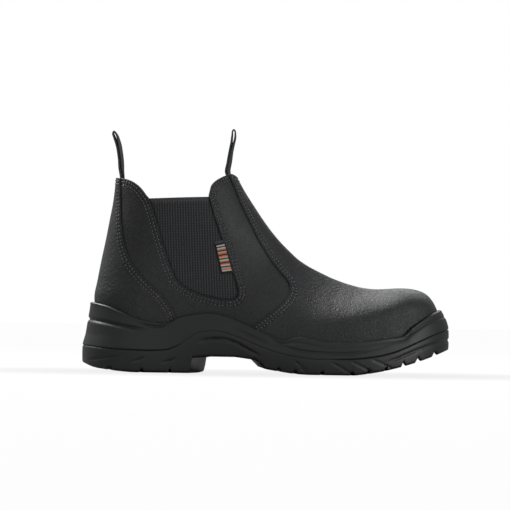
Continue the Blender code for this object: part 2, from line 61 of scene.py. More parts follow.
def follow(xs, ys):
    # a smooth function through the points, which never overshoots them; each y may be a row of values
    order = np.argsort(xs)
    xs, ys = np.asarray(xs, float)[order], np.asarray(ys, float)[order]
    slope = (np.diff(ys, axis=0).T / np.diff(xs)).T
    both = slope[:-1] * slope[1:]
    total = np.where(both > 0, slope[:-1] + slope[1:], 1)
    inner = np.where(both > 0, 2 * both / total, 0)
    grade = np.concatenate([slope[:1], inner, slope[-1:]])

    def at(x):
        x = np.clip(x, xs[0], xs[-1])
        i = np.clip(np.searchsorted(xs, x) - 1, 0, len(xs) - 2)
        run = xs[i + 1] - xs[i]
        t = (x - xs[i]) / run
        rise = (ys[i + 1] - ys[i]) * t * t * (3 - 2 * t)
        lean = run * t * (1 - t) * (grade[i] * (1 - t) - grade[i + 1] * t)
        return ys[i] + rise + lean

    return at


def curves(text):
    # the first column is a place, and every other column becomes a smooth function of it
    columns = list(table(text).values())
    return [follow(columns[0], column) for column in columns[1:]]


def smoothPath(points, count):
    # that many points, evenly spread, on a natural cubic spline through the given ones
    points = np.asarray(points, float)
    knots = np.concatenate([[0], np.cumsum(np.linalg.norm(np.diff(points, axis=0), axis=1))])
    step = np.diff(knots)
    size = len(points)
    matrix = np.eye(size)
    right = np.zeros_like(points)
    for i in range(1, size - 1):
        matrix[i, i - 1:i + 2] = step[i - 1], 2 * (step[i - 1] + step[i]), step[i]
        right[i] = 6 * ((points[i + 1] - points[i]) / step[i] - (points[i] - points[i - 1]) / step[i - 1])
    bend = np.linalg.solve(matrix, right)
    where = np.linspace(0, knots[-1], count)
    i = np.clip(np.searchsorted(knots, where) - 1, 0, size - 2)
    run = step[i][:, None]
    after = ((where - knots[i]) / step[i])[:, None]
    before = 1 - after
    curved = (before ** 3 - before) * bend[i] + (after ** 3 - after) * bend[i + 1]
    return before * points[i] + after * points[i + 1] + curved * run ** 2 / 6


def rounded(distance, radius, squareness=2.0):
    left = np.clip(1 - distance / radius, 0, 1)
    return (1 - left ** squareness) ** (1 / squareness)


def spread(share, roof, corner):
    share = np.maximum(share, 1e-6)
    return (share ** (-roof * corner) + 1) ** (-1 / corner)


def eased(value, low, high):
    t = np.clip((value - low) / (high - low), 0, 1)
    return t * t * (3 - 2 * t)


def unit(vectors):
    return vectors / np.maximum(np.linalg.norm(vectors, axis=-1, keepdims=True), 1e-9)


def awayFrom(x, z, outline, closed=True):
    # distance in the side view from an outline; negative inside a closed one
    x, z = np.ravel(x), np.ravel(z)
    points = np.asarray(outline, float)
    ends = np.roll(points, -1, axis=0) if closed else points[1:]
    starts = points if closed else points[:-1]
    nearest = np.full(len(x), 1e9)
    inside = np.zeros(len(x), bool)
    for (ax, az), (bx, bz) in zip(starts, ends):
        run, rise = bx - ax, bz - az
        t = np.clip(((x - ax) * run + (z - az) * rise) / max(run * run + rise * rise, 1e-9), 0, 1)
        nearest = np.minimum(nearest, np.hypot(x - ax - t * run, z - az - t * rise))
        if rise != 0:
            crosses = (az > z) != (bz > z)
            inside ^= crosses & (x < ax + (z - az) / rise * run)
    return np.where(inside, -nearest, nearest) if closed else nearest


# The last: the same form that the CAD solids are cut from, in millimetres

last = {
    "tipX": 146.0,
    "toeRound": 62.0,
    "toeSquareness": 2.35,
    "under": 14.0,  # how far the form runs on below the feather line
    "underRound": 10.0,
    "footEnds": 55.0,
    "legBegins": 105.0,
    "wall": 2.4,
}
ridgePoints = [
    (146.0, 38.0), (145.8, 42.0), (144.9, 48.5), (142.7, 55.5), (138.9, 62.6), (133.4, 68.3), (124.5, 71.8),
    (111.6, 72.9), (95.0, 71.9), (86.0, 72.1), (78.2, 73.3), (61.5, 77.9), (44.7, 85.0), (27.9, 94.6),
    (19.0, 102.3), (11.0, 110.4), (2.2, 120.8), (-6.1, 132.2), (-12.8, 142.3), (-18.9, 151.8),
    (-26.2, 164.9), (-35.0, 180.5),
]
backX, = curves("""
      z       x
   15.0  -138.2
   31.0  -140.2
   47.0  -142.0
   62.0  -143.3
   76.0  -140.9
   93.0  -137.8
  110.0  -134.4
  126.6  -131.4
  143.4  -128.5
  160.0  -126.9
  178.0  -125.9
""")
planLateral, planMedial, swing = curves("""
       x  lateral  medial  swing
  -141.0     35.5    34.5    0.0
  -105.0     36.0    34.0    0.0
   -65.0     37.0    31.0    0.0
   -30.0     40.0    29.5    0.0
     5.0     45.5    34.5    0.0
    40.0     50.0    42.5    0.3
    70.0     50.5    46.5    1.2
   100.0     48.0    46.0    2.8
   125.0     46.0    45.0    4.0
   146.0     45.0    44.0    5.0
""")
legLateral, legMedial, backRound = curves("""
      z  lateral  medial  backRound
   31.0     36.0    34.0       38.0
   70.0     35.5    34.0       42.0
   95.0     35.5    34.5       46.0
  125.0     37.5    36.5       52.0
  178.0     38.5    37.5       54.0
""")
featherZ, = curves("""
       x     z
  -141.0  31.0
   -95.0  29.8
   -50.0  27.0
   -15.0  22.5
    15.0  18.3
    46.0  16.5
    80.0  17.6
   112.0  22.8
   146.0  31.5
""")
baseRunOf, shoulderOf, roofOf, cornerOf = curves("""
   ridgeX   baseRun  shoulder  roof  corner
    146.0       0.0       9.0  0.50     5.0
    136.0      10.0      11.0  0.50     5.5
    120.0      26.0      12.0  0.50     6.5
    105.0      41.0      14.9  0.54     7.0
     89.0      57.0      19.2  0.64     7.0
     72.0      75.0      25.3  0.76     7.5
     55.0      96.0      34.0  0.82     7.5
     39.0     119.0      44.0  0.80     7.0
     25.0     145.0      48.5  0.70     6.0
     12.0     180.0      47.5  0.60     5.5
      2.0     220.0      43.0  0.54     5.0
     -5.0     258.0      39.0  0.51     5.0
     -9.0     286.0      36.0  0.50     5.0
    -13.0     318.0      34.0  0.50     5.0
    -18.5     362.0      32.0  0.50     5.0
    -26.0     412.0      30.0  0.50     5.0
    -34.5     448.0      29.0  0.50     5.0
""")

ridgeLine = smoothPath(ridgePoints, 400)
ridgeTop = int(np.argmax(ridgeLine[:, 0] < 115.0))  # the points before this one are the toe's front


def underZ(x):
    return featherZ(x) - last["under"]


def frontX(z):
    return np.interp(z, ridgeLine[:ridgeTop, 1], ridgeLine[:ridgeTop, 0])


def ridgeZ(x):
    return np.interp(-x, -ridgeLine[:, 0], ridgeLine[:, 1])


def basePoint(run):
    heelX = float(backX(underZ(-140.0)))
    length = last["tipX"] - heelX
    x = last["tipX"] - np.clip(run, 0, length)
    z = underZ(x) + np.maximum(run - length, 0)
    return np.where(run > length, backX(z), x), z


def halfWidth(x, z, side, ridgeX, depth):
    legShare = eased(z, last["footEnds"], last["legBegins"])
    foot = np.where(side < 0, planLateral(x), planMedial(x))
    leg = np.where(side < 0, legLateral(z), legMedial(z))
    width = foot * (1 - legShare) + leg * legShare
    width = width * rounded(x - backX(z), backRound(z), 2.15)
    width = width * rounded(last["tipX"] - x, last["toeRound"], last["toeSquareness"])
    width = width * rounded(z - underZ(x), last["underRound"])
    return width * spread(depth / shoulderOf(ridgeX), roofOf(ridgeX), cornerOf(ridgeX))


fanX, fanZ = ridgeLine.T
fanBaseX, fanBaseZ = basePoint(baseRunOf(fanX))


def lastY(x, z, side):
    # the last's surface at places in the side view, by the section that runs through each
    x, z = np.broadcast_arrays(np.asarray(x, float), np.asarray(z, float))
    shape = x.shape
    x, z, side = x.ravel(), z.ravel(), np.broadcast_to(side, shape).ravel()
    turn = (fanBaseX - fanX) * (z[:, None] - fanZ) - (fanBaseZ - fanZ) * (x[:, None] - fanX)
    past = turn > 0
    i = np.where(past.any(axis=1), past.argmax(axis=1), len(fanX) - 1)
    j = np.maximum(i - 1, 0)
    row = np.arange(len(x))
    share = np.where(i > j, -turn[row, j] / np.where(i > j, turn[row, i] - turn[row, j], 1), 0)
    share = np.clip(share, 0, 1)
    nearest = ridgeLine[j] + share[:, None] * (ridgeLine[i] - ridgeLine[j])
    depth = np.hypot(x - nearest[:, 0], z - nearest[:, 1])
    return (swing(x) + side * halfWidth(x, z, side, nearest[:, 0], depth)).reshape(shape)


def lastPoint(x, z, side):
    x, z = np.asarray(x, float), np.asarray(z, float)
    return np.stack([x, lastY(x, z, side), z], axis=-1)


def lastNormal(x, z, side):
    step = 0.4
    slopeX = (lastY(x + step, z, side) - lastY(x - step, z, side)) / (2 * step)
    slopeZ = (lastY(x, z + step, side) - lastY(x, z - step, side)) / (2 * step)
    return unit(side * np.stack([-slopeX, np.ones_like(slopeX), -slopeZ], axis=-1))


# The CAD's own sections, and how much finer the shown skin is
toeStarts = [
    last["tipX"] - last["toeRound"] * (1 - math.cos(math.radians(turn)))
    for turn in (0, 6, 13, 21, 30, 40, 51, 63, 76)
]
footStarts = [72.0, 63.0, 54.0, 45.0, 36.0, 28.0, 20.0, 13.0, 7.0, 2.0, -1.5]
heelStarts = [-4.0, -6.0, -7.6, -8.6, -9.3, -10.3, -12.0]
legStarts = [-14.0, -16.5, -19.5, -23.0, -27.0, -31.0, -34.8]
sectionStarts = toeStarts + footStarts + heelStarts + legStarts
skin = {"rings": 330, "around": 120}


def skinGrid():
    # the last as rings from the toe to the collar, each from the ridge down one side and up the other
    fine = follow(np.arange(len(sectionStarts)), sectionStarts)
    starts = fine(np.linspace(0, len(sectionStarts) - 1, skin["rings"]))
    around = skin["around"]
    shares = (1 - np.cos(np.pi * np.arange(around + 1) / around)) / 2
    column = np.concatenate([np.arange(around + 1), np.arange(around - 1, 0, -1)])
    side = np.where(np.arange(2 * around) <= around, lateral, medial)
    top = np.stack([starts, ridgeZ(starts)], axis=1)
    base = np.stack(basePoint(baseRunOf(starts)), axis=1)
    share = shares[column]
    place = top[:, None] + share[None, :, None] * (base - top)[:, None]
    depth = share[None] * np.linalg.norm(base - top, axis=1)[:, None]
    x, z = place[..., 0], place[..., 1]
    sides = np.broadcast_to(side, x.shape)
    y = swing(x) + sides * halfWidth(x, z, sides, starts[:, None], depth)
    points = np.stack([x, y, z], axis=-1)
    return points, sides


def gridNormals(points):
    along = np.gradient(points, axis=0)
    across = np.roll(points, -1, axis=1) - np.roll(points, 1, axis=1)
    normal = unit(np.cross(along, across))
    outside = ((points - points.mean(axis=1, keepdims=True)) * normal).sum(axis=2, keepdims=True)
    normal = np.where(outside.mean() < 0, -normal, normal)
    normal[0] = (1, 0, 0)
    return normal


# Soft unevenness of the leather: shallow creases where the foot bends, and slow swells over the panels.
# Each crease is a trough with a softer ridge behind it, running from one side over the ridge to the other
creases = {
    "depth": 0.16, "width": 5.5, "fade": 18.0, "waver": 1.6, "waverRun": 9.0,
    "ridge": 0.6, "ridgeBehind": 1.7,  # the ridge's share of the depth, and how many widths behind it lies
    # ridge x, lean towards the heel at 40 mm down the sides, share of the depth, how far down it runs
    "troughs": [(76.0, 16.0, 1.0, 34.0), (66.0, 18.0, 0.8, 40.0), (55.0, 22.0, 0.7, 44.0),
                (24.0, 30.0, 0.8, 50.0)],
    "swell": 0.15,
}


def leatherRelief(x, z, side):
    relief = np.zeros_like(x)
    drop = ridgeZ(np.clip(x, -34, 145)) - z
    for start, lean, share, reach in creases["troughs"]:
        waver = creases["waver"] * np.sin(drop / creases["waverRun"] + start) * side
        away = (x + lean * np.clip(drop, 0, 200) / 40.0 + waver - start) / creases["width"]
        fade = eased(reach - drop, 0.0, creases["fade"])
        ridge = creases["ridge"] * np.exp(-(away + creases["ridgeBehind"]) ** 2)
        relief += creases["depth"] * share * fade * (ridge - np.exp(-away ** 2))
    swell = np.sin(x / 17.0 + 0.6 * side) * np.sin(z / 13.0 + 1.1) + 0.6 * np.sin(x / 9.3 + z / 11.0 + side)
    calm = eased(x, -120.0, -90.0) * (1 - eased(x, 85.0, 105.0))  # none on the stiff heel and toe
    return relief + creases["swell"] * swell * calm


skinPoints, skinSides = skinGrid()
skinNormals = gridNormals(skinPoints)
skinX, skinZ = skinPoints[..., 0], skinPoints[..., 2]
reliefed = skinPoints + skinNormals * leatherRelief(skinX, skinZ, skinSides)[..., None]
skinNormals = gridNormals(reliefed)
print("last laid out,", skinPoints.shape[0] * skinPoints.shape[1], "points")


# Edges of the panels in the side view
collarEdge = [
    (-16.0, 160.5), (-26.2, 164.9), (-29.1, 167.2), (-34.5, 165.3), (-41.1, 161.8), (-45.2, 158.4),
    (-47.3, 155.0), (-48.4, 147.0), (-61.0, 147.0), (-80.0, 146.0), (-99.4, 144.6), (-102.4, 148.3),
    (-106.5, 153.7), (-112.4, 158.3), (-118.0, 160.6), (-126.0, 161.8), (-140.0, 162.0),
]
goreEdge = [
    (-48.4, 147.0), (-43.6, 130.4), (-37.9, 113.8), (-31.4, 96.4), (-25.3, 77.3), (-22.8, 68.6),
    (-22.8, 64.4), (-25.4, 61.8), (-31.7, 61.2), (-40.1, 61.8), (-48.5, 63.6), (-56.8, 65.9), (-63.6, 68.8),
    (-69.8, 72.4), (-75.8, 77.8), (-80.5, 89.0), (-85.8, 103.9), (-91.0, 120.5), (-95.2, 134.0),
    (-99.4, 144.6),
]
vampEdge = [
    (-38.5, 178.0), (-32.0, 164.8), (-28.1, 156.5), (-22.9, 143.2), (-17.7, 132.5), (-12.6, 122.5),
    (-5.7, 109.3), (-0.6, 101.0), (4.5, 93.6), (10.5, 86.1), (15.6, 80.8), (18.4, 77.2), (20.0, 73.4),
    (20.4, 69.6), (19.4, 65.6), (16.7, 62.0), (11.7, 56.9), (5.1, 51.8), (-1.5, 46.3), (-8.1, 41.6),
    (-14.0, 37.0), (-20.0, 31.0),
]
counterEdge = [
    (-123.3, 172.0), (-122.9, 160.1), (-122.5, 143.4), (-122.0, 126.7), (-121.0, 116.7), (-119.6, 107.6),
    (-116.6, 98.5), (-113.1, 91.0), (-108.0, 84.4), (-102.1, 77.8), (-95.3, 71.6), (-88.5, 65.5),
    (-82.6, 58.9), (-78.3, 52.3), (-75.7, 46.5), (-73.0, 38.0), (-71.0, 28.0),
]


def fineEdge(points, spacing=2.0):
    length = np.linalg.norm(np.diff(points, axis=0), axis=1).sum()
    return smoothPath(points, int(length / spacing))


def roundedEdge(points, spacing=1.5, passes=6):
    # straight runs with softened corners
    points = np.asarray(points, float)
    steps = np.linalg.norm(np.diff(points, axis=0), axis=1)
    knots = np.concatenate([[0], np.cumsum(steps)])
    where = np.linspace(0, knots[-1], int(knots[-1] / spacing))
    line = np.stack([np.interp(where, knots, points[:, k]) for k in (0, 1)], axis=1)
    for _ in range(passes):
        line[1:-1] = (line[:-2] + 2 * line[1:-1] + line[2:]) / 4
    return line


collarLine = roundedEdge(collarEdge, 1.5, 3)
goreLine = roundedEdge(goreEdge, 1.5, 5)
vampLine = roundedEdge(vampEdge, 1.5, 5)
counterLine = roundedEdge(counterEdge, 1.5, 5)
aboveCollar = np.vstack([collarLine, [(-170.0, 162.0), (-170.0, 230.0), (20.0, 230.0), (20.0, 157.0)]])
goreOutline = np.vstack([goreLine, [(-101.0, 149.0), (-103.0, 158.0), (-46.0, 158.0), (-48.6, 148.0)]])
vampOutline = np.vstack([vampLine, [(-22.0, -10.0), (190.0, -10.0), (190.0, 178.0)]])
counterOutline = np.vstack([counterLine, [(-71.0, -10.0), (-190.0, -10.0), (-190.0, 172.0)]])

gridX, gridZ = skinX.ravel(), skinZ.ravel()
fields = {
    # each is negative where the piece it is named for is, in the side view
    "collar": -awayFrom(gridX, gridZ, aboveCollar),
    "gore": awayFrom(gridX, gridZ, goreOutline),
    "vamp": awayFrom(gridX, gridZ, vampOutline),
    "counter": awayFrom(gridX, gridZ, counterOutline),
}
fields = {name: values.reshape(skinX.shape) for name, values in fields.items()}


def clipGrid(points, normals, value, extras):
    # the part of the grid where the value is negative, cut along its zero line
    rows, around = value.shape
    flat = value.ravel()
    index = np.arange(rows * around).reshape(rows, around)
    index[0, around // 2 + 1:] = index[0, around // 2 - 1:0:-1]  # both sides meet at the tip of the toe
    ahead = np.roll(index, -1, axis=1)
    corners = np.stack([index[:-1], ahead[:-1], ahead[1:], index[1:]], axis=-1).reshape(-1, 4)
    flatPoints, flatNormals = points.reshape(-1, 3), normals.reshape(-1, 3)
    a, b, c, d = (flatPoints[corners[:, k]] for k in range(4))
    if (np.cross(c - a, d - b) * flatNormals[corners[:, 0]]).sum(axis=1).mean() < 0:
        corners = corners[:, ::-1]
    inside = (flat[corners] < 0).sum(axis=1)
    faces = [tuple(face) for face in corners[inside == 4]]
    cutPairs, made = [], {}

    def crossing(p, q):
        key = (min(p, q), max(p, q))
        if key not in made:
            made[key] = len(flat) + len(cutPairs)
            share = np.clip(flat[p] / (flat[p] - flat[q]), 0.03, 0.97)  # never quite at a corner
            cutPairs.append((p, q, share))
        return made[key]

    for face in corners[(inside > 0) & (inside < 4)]:
        polygon = []
        for k in range(4):
            p, q = int(face[k]), int(face[(k + 1) % 4])
            if flat[p] < 0:
                polygon.append(p)
            if (flat[p] < 0) != (flat[q] < 0):
                polygon.append(crossing(p, q))
        if len(polygon) > 2:
            faces.append(tuple(polygon))
    first = np.array([pair[0] for pair in cutPairs], int)
    second = np.array([pair[1] for pair in cutPairs], int)
    share = np.array([pair[2] for pair in cutPairs], float)[:, None]

    def carried(values):
        values = values.reshape(len(flat), -1)
        return np.vstack([values, values[first] * (1 - share) + values[second] * share])

    allPoints, allNormals = carried(points), unit(carried(normals))
    allExtras = {name: carried(values)[:, 0] for name, values in extras.items()}
    used = np.unique(np.concatenate([np.array(face) for face in faces]))
    renumber = np.full(len(allPoints), -1)
    renumber[used] = np.arange(len(used))
    faces = [tuple(int(renumber[k]) for k in face) for face in faces]
    return {
        "points": allPoints[used],
        "normals": allNormals[used],
        "faces": faces,
        "extras": {name: values[used] for name, values in allExtras.items()},
    }


def openLoops(faces):
    # the loops of edges that only one face uses, in that face's direction
    count = {}
    for face in faces:
        for k in range(len(face)):
            pair = (face[k], face[(k + 1) % len(face)])
            count[pair] = count.get(pair, 0) + 1
    onward = {p: q for (p, q) in count if (q, p) not in count}
    loops = []
    while onward:
        start = next(iter(onward))
        loop, here = [], start
        while here in onward:
            loop.append(here)
            here = onward.pop(here)
        if here == start and len(loop) > 6:
            loops.append(loop)
    return loops


def ringTangent(ring, reaches):
    return sum(unit(np.roll(ring, -reach, axis=0) - np.roll(ring, reach, axis=0)) for reach in reaches)


def addRim(patch, profile):
    # turns every open edge over: profile is a list of (outwards, inwards) steps from the edge
    points, normals, faces = list(patch["points"]), list(patch["normals"]), patch["faces"]
    extras = {name: list(values) for name, values in patch["extras"].items()}
    edgePoints = []
    for loop in openLoops(faces):
        ring = np.array([points[k] for k in loop])
        normal = np.array([normals[k] for k in loop])
        outward = unit(np.cross(unit(ringTangent(ring, (1, 2, 3))), normal))
        edgePoints.append(ring)
        previous = list(loop)
        for out, down in profile:
            start = len(points)
            points.extend(ring + outward * out - normal * down)
            normals.extend(unit(outward + normal * 0.3))
            for name in extras:
                extras[name].extend([extras[name][k] for k in loop])
            current = list(range(start, start + len(loop)))
            for k in range(len(loop)):
                n = (k + 1) % len(loop)
                faces.append((previous[n], previous[k], current[k], current[n]))
            previous = current
    patch["points"], patch["normals"] = np.array(points), np.array(normals)
    patch["extras"] = {name: np.array(values) for name, values in extras.items()}
    patch["edges"] = edgePoints
    return patch


def rimProfile(radius, thickness, steps=4):
    turns = np.linspace(0, math.pi / 2, steps + 1)[1:]
    rounding = [(radius * math.sin(a), radius * (1 - math.cos(a))) for a in turns]
    return rounding + [(radius, thickness), (radius - 0.8, thickness + 0.05)]


def nearestTree(points):
    tree = KDTree(len(points))
    for k, place in enumerate(points):
        tree.insert(place, k)
    tree.balance()
    return tree


def fromEdges(points, edgePoints, most=14.0):
    # distance of each point from the nearest edge
    samples = []
    for ring in edgePoints:
        ahead = np.roll(ring, -1, axis=0)
        samples += [ring, ring * 0.67 + ahead * 0.33, ring * 0.33 + ahead * 0.67]
    tree = nearestTree(np.vstack(samples))
    return np.array([min(tree.find(place)[2], most) for place in points])


def newObject(name, data):
    made = bpy.data.objects.new(name, data)
    bpy.context.scene.collection.objects.link(made)
    return made


def makePiece(name, points, faces, finish, extras=None, nodes=(), sharp=None):
    mesh = bpy.data.meshes.new(name)
    mesh.from_pydata(((np.asarray(points) + centre) * mm).tolist(), [], faces)
    mesh.validate()
    mesh.shade_smooth()
    if sharp:
        mesh.set_sharp_from_angle(angle=math.radians(sharp))
    for key, values in (extras or {}).items():
        mesh.attributes.new(key, "FLOAT", "POINT").data.foreach_set("value", np.asarray(values, np.float32))
    mesh.materials.append(finish)
    made = newObject(name, mesh)
    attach(made, "root")
    if nodes:
        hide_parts(*nodes)
    return made


# Materials

def linear(hexCode):
    # sRGB hex to the linear colour that shaders use
    parts = [int(hexCode[k:k + 2], 16) / 255 for k in (0, 2, 4)]
    return [p / 12.92 if p <= 0.04045 else ((p + 0.055) / 1.055) ** 2.4 for p in parts] + [1.0]


def addNode(tree, kind, inputs=None, **settings):
    made = tree.nodes.new(kind)
    for name, value in settings.items():
        setattr(made, name, value)
    for name, value in (inputs or {}).items():
        if isinstance(value, bpy.types.NodeSocket):
            tree.links.new(value, made.inputs[name])
        else:
            made.inputs[name].default_value = value
    return made


def newMaterial(name, **shaderValues):
    made = bpy.data.materials.new(name)
    made.use_nodes = True
    tree = made.node_tree
    shader = tree.nodes["Principled BSDF"]
    for key, value in shaderValues.items():
        shader.inputs[key].default_value = value
    return made, tree, shader


def ramp(tree, factor, stops, way="LINEAR"):
    made = addNode(tree, "ShaderNodeValToRGB", {"Fac": factor})
    made.color_ramp.interpolation = way
    for k, (place, colour) in enumerate(stops):
        stop = made.color_ramp.elements[k] if k < 2 else made.color_ramp.elements.new(place)
        stop.position = place
        stop.color = colour
    return made.outputs["Color"]


def grey(value):
    return (value, value, value, 1.0)


def calculate(tree, operation, first, second=0.5):
    return addNode(tree, "ShaderNodeMath", {0: first, 1: second}, operation=operation).outputs[0]


def rescale(tree, source, low, high, toLow=0.0, toHigh=1.0, way="LINEAR"):
    inputs = {0: source, 1: low, 2: high, 3: toLow, 4: toHigh}
    return addNode(tree, "ShaderNodeMapRange", inputs, interpolation_type=way).outputs[0]


def attribute(tree, name):
    return addNode(tree, "ShaderNodeAttribute", attribute_name=name).outputs["Fac"]


def objectPlace(tree):
    return addNode(tree, "ShaderNodeTexCoord").outputs["Object"]


def noise(tree, place, scale, detail, roughness=0.5):
    inputs = {"Vector": place, "Scale": scale, "Detail": detail, "Roughness": roughness}
    return addNode(tree, "ShaderNodeTexNoise", inputs).outputs["Fac"]


def mixed(tree, share, first, second):
    inputs = {"Factor": share, "A": first, "B": second}
    return addNode(tree, "ShaderNodeMix", inputs, data_type="RGBA").outputs["Result"]


def bump(tree, height, deepMm, strength=1.0, over=None, invert=False):
    inputs = {"Height": height, "Strength": strength, "Distance": deepMm * mm}
    if over is not None:
        inputs["Normal"] = over
    return addNode(tree, "ShaderNodeBump", inputs, invert=invert).outputs["Normal"]


# Full-grain cowhide with a matt aniline finish: a fine pebbled grain, little gloss, slightly paler where it
# is pulled tight. Grain cells are 1.5 mm, coarser than real so that they show
leatherLook = {
    # the seam colour is painted shade in the stitch channels; the shadow colour is painted shade and dark edge
    # paint
    "dark": "1f2021", "pale": "333436", "between": "17181a", "seamShade": "080809", "shadow": "0b0b0c",
    "roughness": 0.56, "glossRange": (0.46, 0.68),
    "grainMm": 1.5, "poreMm": 0.35, "mottleMm": 2.4, "patchScale": 38.0,
    "grainDeepMm": 0.13, "poreDeepMm": 0.06, "mottleDeepMm": 0.6,
    "seamRows": (2.3, 5.2), "seamWidth": 1.05, "seamDeepMm": 0.30,
}


def grainedLeather():
    look = leatherLook
    made, tree, shader = newMaterial("millGrainCowhide", Roughness=look["roughness"])
    shader.inputs["Specular IOR Level"].default_value = 0.5
    place = objectPlace(tree)
    patches = noise(tree, place, look["patchScale"], 4.0, 0.6)
    mottle = noise(tree, place, 1 / (look["mottleMm"] * mm), 3.0, 0.65)
    pores = noise(tree, place, 1 / (look["poreMm"] * mm), 2.0)
    cells = addNode(tree, "ShaderNodeTexVoronoi", {"Vector": place, "Scale": 1 / (look["grainMm"] * mm)},
                    feature="DISTANCE_TO_EDGE")
    pebble = ramp(tree, cells.outputs["Distance"], [(0.0, grey(0.0)), (0.32, grey(1.0))])
    tone = calculate(tree, "MULTIPLY", patches, mottle)
    colour = ramp(tree, tone, [(0.13, linear(look["dark"])), (0.4, linear(look["pale"]))])
    colour = mixed(tree, pebble, linear(look["between"]), colour)
    # the seams' rows are pressed in, and painted darker as the shade in the channels and between the stitches
    edge = attribute(tree, "fromEdge")
    channel = 1.0
    for row in look["seamRows"]:
        away = calculate(tree, "ABSOLUTE", calculate(tree, "SUBTRACT", edge, row))
        beside = rescale(tree, away, 0.0, look["seamWidth"], way="SMOOTHSTEP")
        channel = calculate(tree, "MULTIPLY", channel, beside)
    colour = mixed(tree, channel, linear(look["seamShade"]), colour)
    # painted shade and dark edge paint, where the shade attribute is low
    colour = mixed(tree, attribute(tree, "shade"), linear(look["shadow"]), colour)
    tree.links.new(colour, shader.inputs["Base Color"])
    uneven = calculate(tree, "ADD", patches, mottle)
    tree.links.new(rescale(tree, uneven, 0.75, 1.25, *look["glossRange"]), shader.inputs["Roughness"])
    normal = bump(tree, pebble, look["grainDeepMm"], 0.7)
    normal = bump(tree, mottle, look["mottleDeepMm"], 1.0, normal)
    normal = bump(tree, pores, look["poreDeepMm"], 0.5, normal)
    normal = bump(tree, channel, look["seamDeepMm"], 1.0, normal)
    tree.links.new(normal, shader.inputs["Normal"])
    return made


# Elastic webbing: polyester-wrapped rubber warp with a matt ribbed face. Ribs 2.2 mm apart run up the gore,
# crossed by fine weft lines
elasticLook = {
    "face": "363739", "groove": "18191a", "boundHighlight": "404143", "shadow": "050505", "roughness": 0.78,
    "ribMm": 2.2, "weftMm": 2.2, "weftShare": 0.45, "deepMm": 0.3,
}


def ribbedElastic():
    look = elasticLook
    made, tree, shader = newMaterial("ribbedElasticWebbing", Roughness=look["roughness"])
    shader.inputs["Specular IOR Level"].default_value = 0.35
    shader.inputs["Sheen Weight"].default_value = 0.06
    waves = []
    for name, pitch in (("across", look["ribMm"]), ("along", look["weftMm"])):
        turned = calculate(tree, "MULTIPLY", attribute(tree, name), 2 * math.pi / pitch)
        waves.append(rescale(tree, calculate(tree, "SINE", turned), -1.0, 1.0))
    rib, weft = waves
    height = calculate(tree, "ADD", rib, calculate(tree, "MULTIPLY", weft, look["weftShare"]))
    colour = ramp(tree, height, [(0.15, linear(look["groove"])), (0.9, linear(look["face"]))])
    # lighter along the bound top edge: a painted highlight
    colour = mixed(tree, attribute(tree, "boundHighlight"), colour, linear(look["boundHighlight"]))
    # painted shadow where the shade attribute is low, along the leather's edges
    colour = mixed(tree, attribute(tree, "shade"), linear(look["shadow"]), colour)
    tree.links.new(colour, shader.inputs["Base Color"])
    tree.links.new(bump(tree, height, look["deepMm"]), shader.inputs["Normal"])
    return made


# Moulded polyurethane: smooth satin skin with the faint texture of a blasted steel mould
soleLook = {"cup": "191a1b", "tread": "18191a", "scuffed": "202123", "textureMm": 0.5, "deepMm": 0.05}


def mouldedPolyurethane(name, hexCode, roughness):
    made, tree, shader = newMaterial(name, Roughness=roughness)
    place = objectPlace(tree)
    fine = noise(tree, place, 1 / (soleLook["textureMm"] * mm), 2.0)
    slow = noise(tree, place, 24.0, 3.0)
    colour = ramp(tree, slow, [(0.35, linear(hexCode)), (0.85, linear(soleLook["scuffed"]))])
    gloss = ramp(tree, slow, [(0.3, grey(roughness - 0.05)), (0.75, grey(roughness + 0.07))])
    tree.links.new(colour, shader.inputs["Base Color"])
    tree.links.new(gloss, shader.inputs["Roughness"])
    tree.links.new(bump(tree, fine, soleLook["deepMm"], 0.35), shader.inputs["Normal"])
    return made


# Woven textile: matt, with crossing threads; used for the lining, the footbed's cover and the loops
clothLook = {"roughness": 0.85, "deepMm": 0.15, "uneven": 0.12}


def wovenCloth(name, face, shade, threadMm, flat=False):
    made, tree, shader = newMaterial(name, Roughness=clothLook["roughness"])
    shader.inputs["Specular IOR Level"].default_value = 0.3
    if flat:
        inputs = {"X": attribute(tree, "across"), "Y": attribute(tree, "along")}
        place, scale = addNode(tree, "ShaderNodeCombineXYZ", inputs).outputs[0], 1 / threadMm
    else:
        place, scale = objectPlace(tree), 1 / (threadMm * mm)
    inputs = {"Vector": place, "Scale": scale, "Randomness": clothLook["uneven"]}
    weave = addNode(tree, "ShaderNodeTexVoronoi", inputs, distance="CHEBYCHEV").outputs["Distance"]
    colour = ramp(tree, weave, [(0.1, linear(face)), (0.75, linear(shade))])
    tree.links.new(colour, shader.inputs["Base Color"])
    tree.links.new(bump(tree, weave, clothLook["deepMm"], 0.8, invert=True), shader.inputs["Normal"])
    return made


# Bonded polyester thread: a smooth, slightly glossy cord, paler than the leather
threadLook = {"dark": "434447", "pale": "626366", "roughness": 0.5, "scale": 900.0}


def bondedThread():
    made, tree, shader = newMaterial("bondedPolyesterThread", Roughness=threadLook["roughness"])
    fibres = noise(tree, objectPlace(tree), threadLook["scale"], 1.0)
    colour = ramp(tree, fibres, [(0.3, linear(threadLook["dark"])), (0.7, linear(threadLook["pale"]))])
    tree.links.new(colour, shader.inputs["Base Color"])
    return made


leatherFinish = grainedLeather()
elasticFinish = ribbedElastic()
cupFinish = mouldedPolyurethane("mouldedPolyurethaneCup", soleLook["cup"], 0.52)
treadFinish = mouldedPolyurethane("mouldedPolyurethaneTread", soleLook["tread"], 0.48)
liningFinish = wovenCloth("spacerMeshLining", "2c2d2f", "0e0f10", 1.1)
footbedFinish = wovenCloth("footbedCover", "2b2c2d", "121314", 0.9)
loopFinish = wovenCloth("polyesterWebbing", "4a4b4d", "2e2f31", 1.3, flat=True)
threadFinish = bondedThread()
print("materials made")


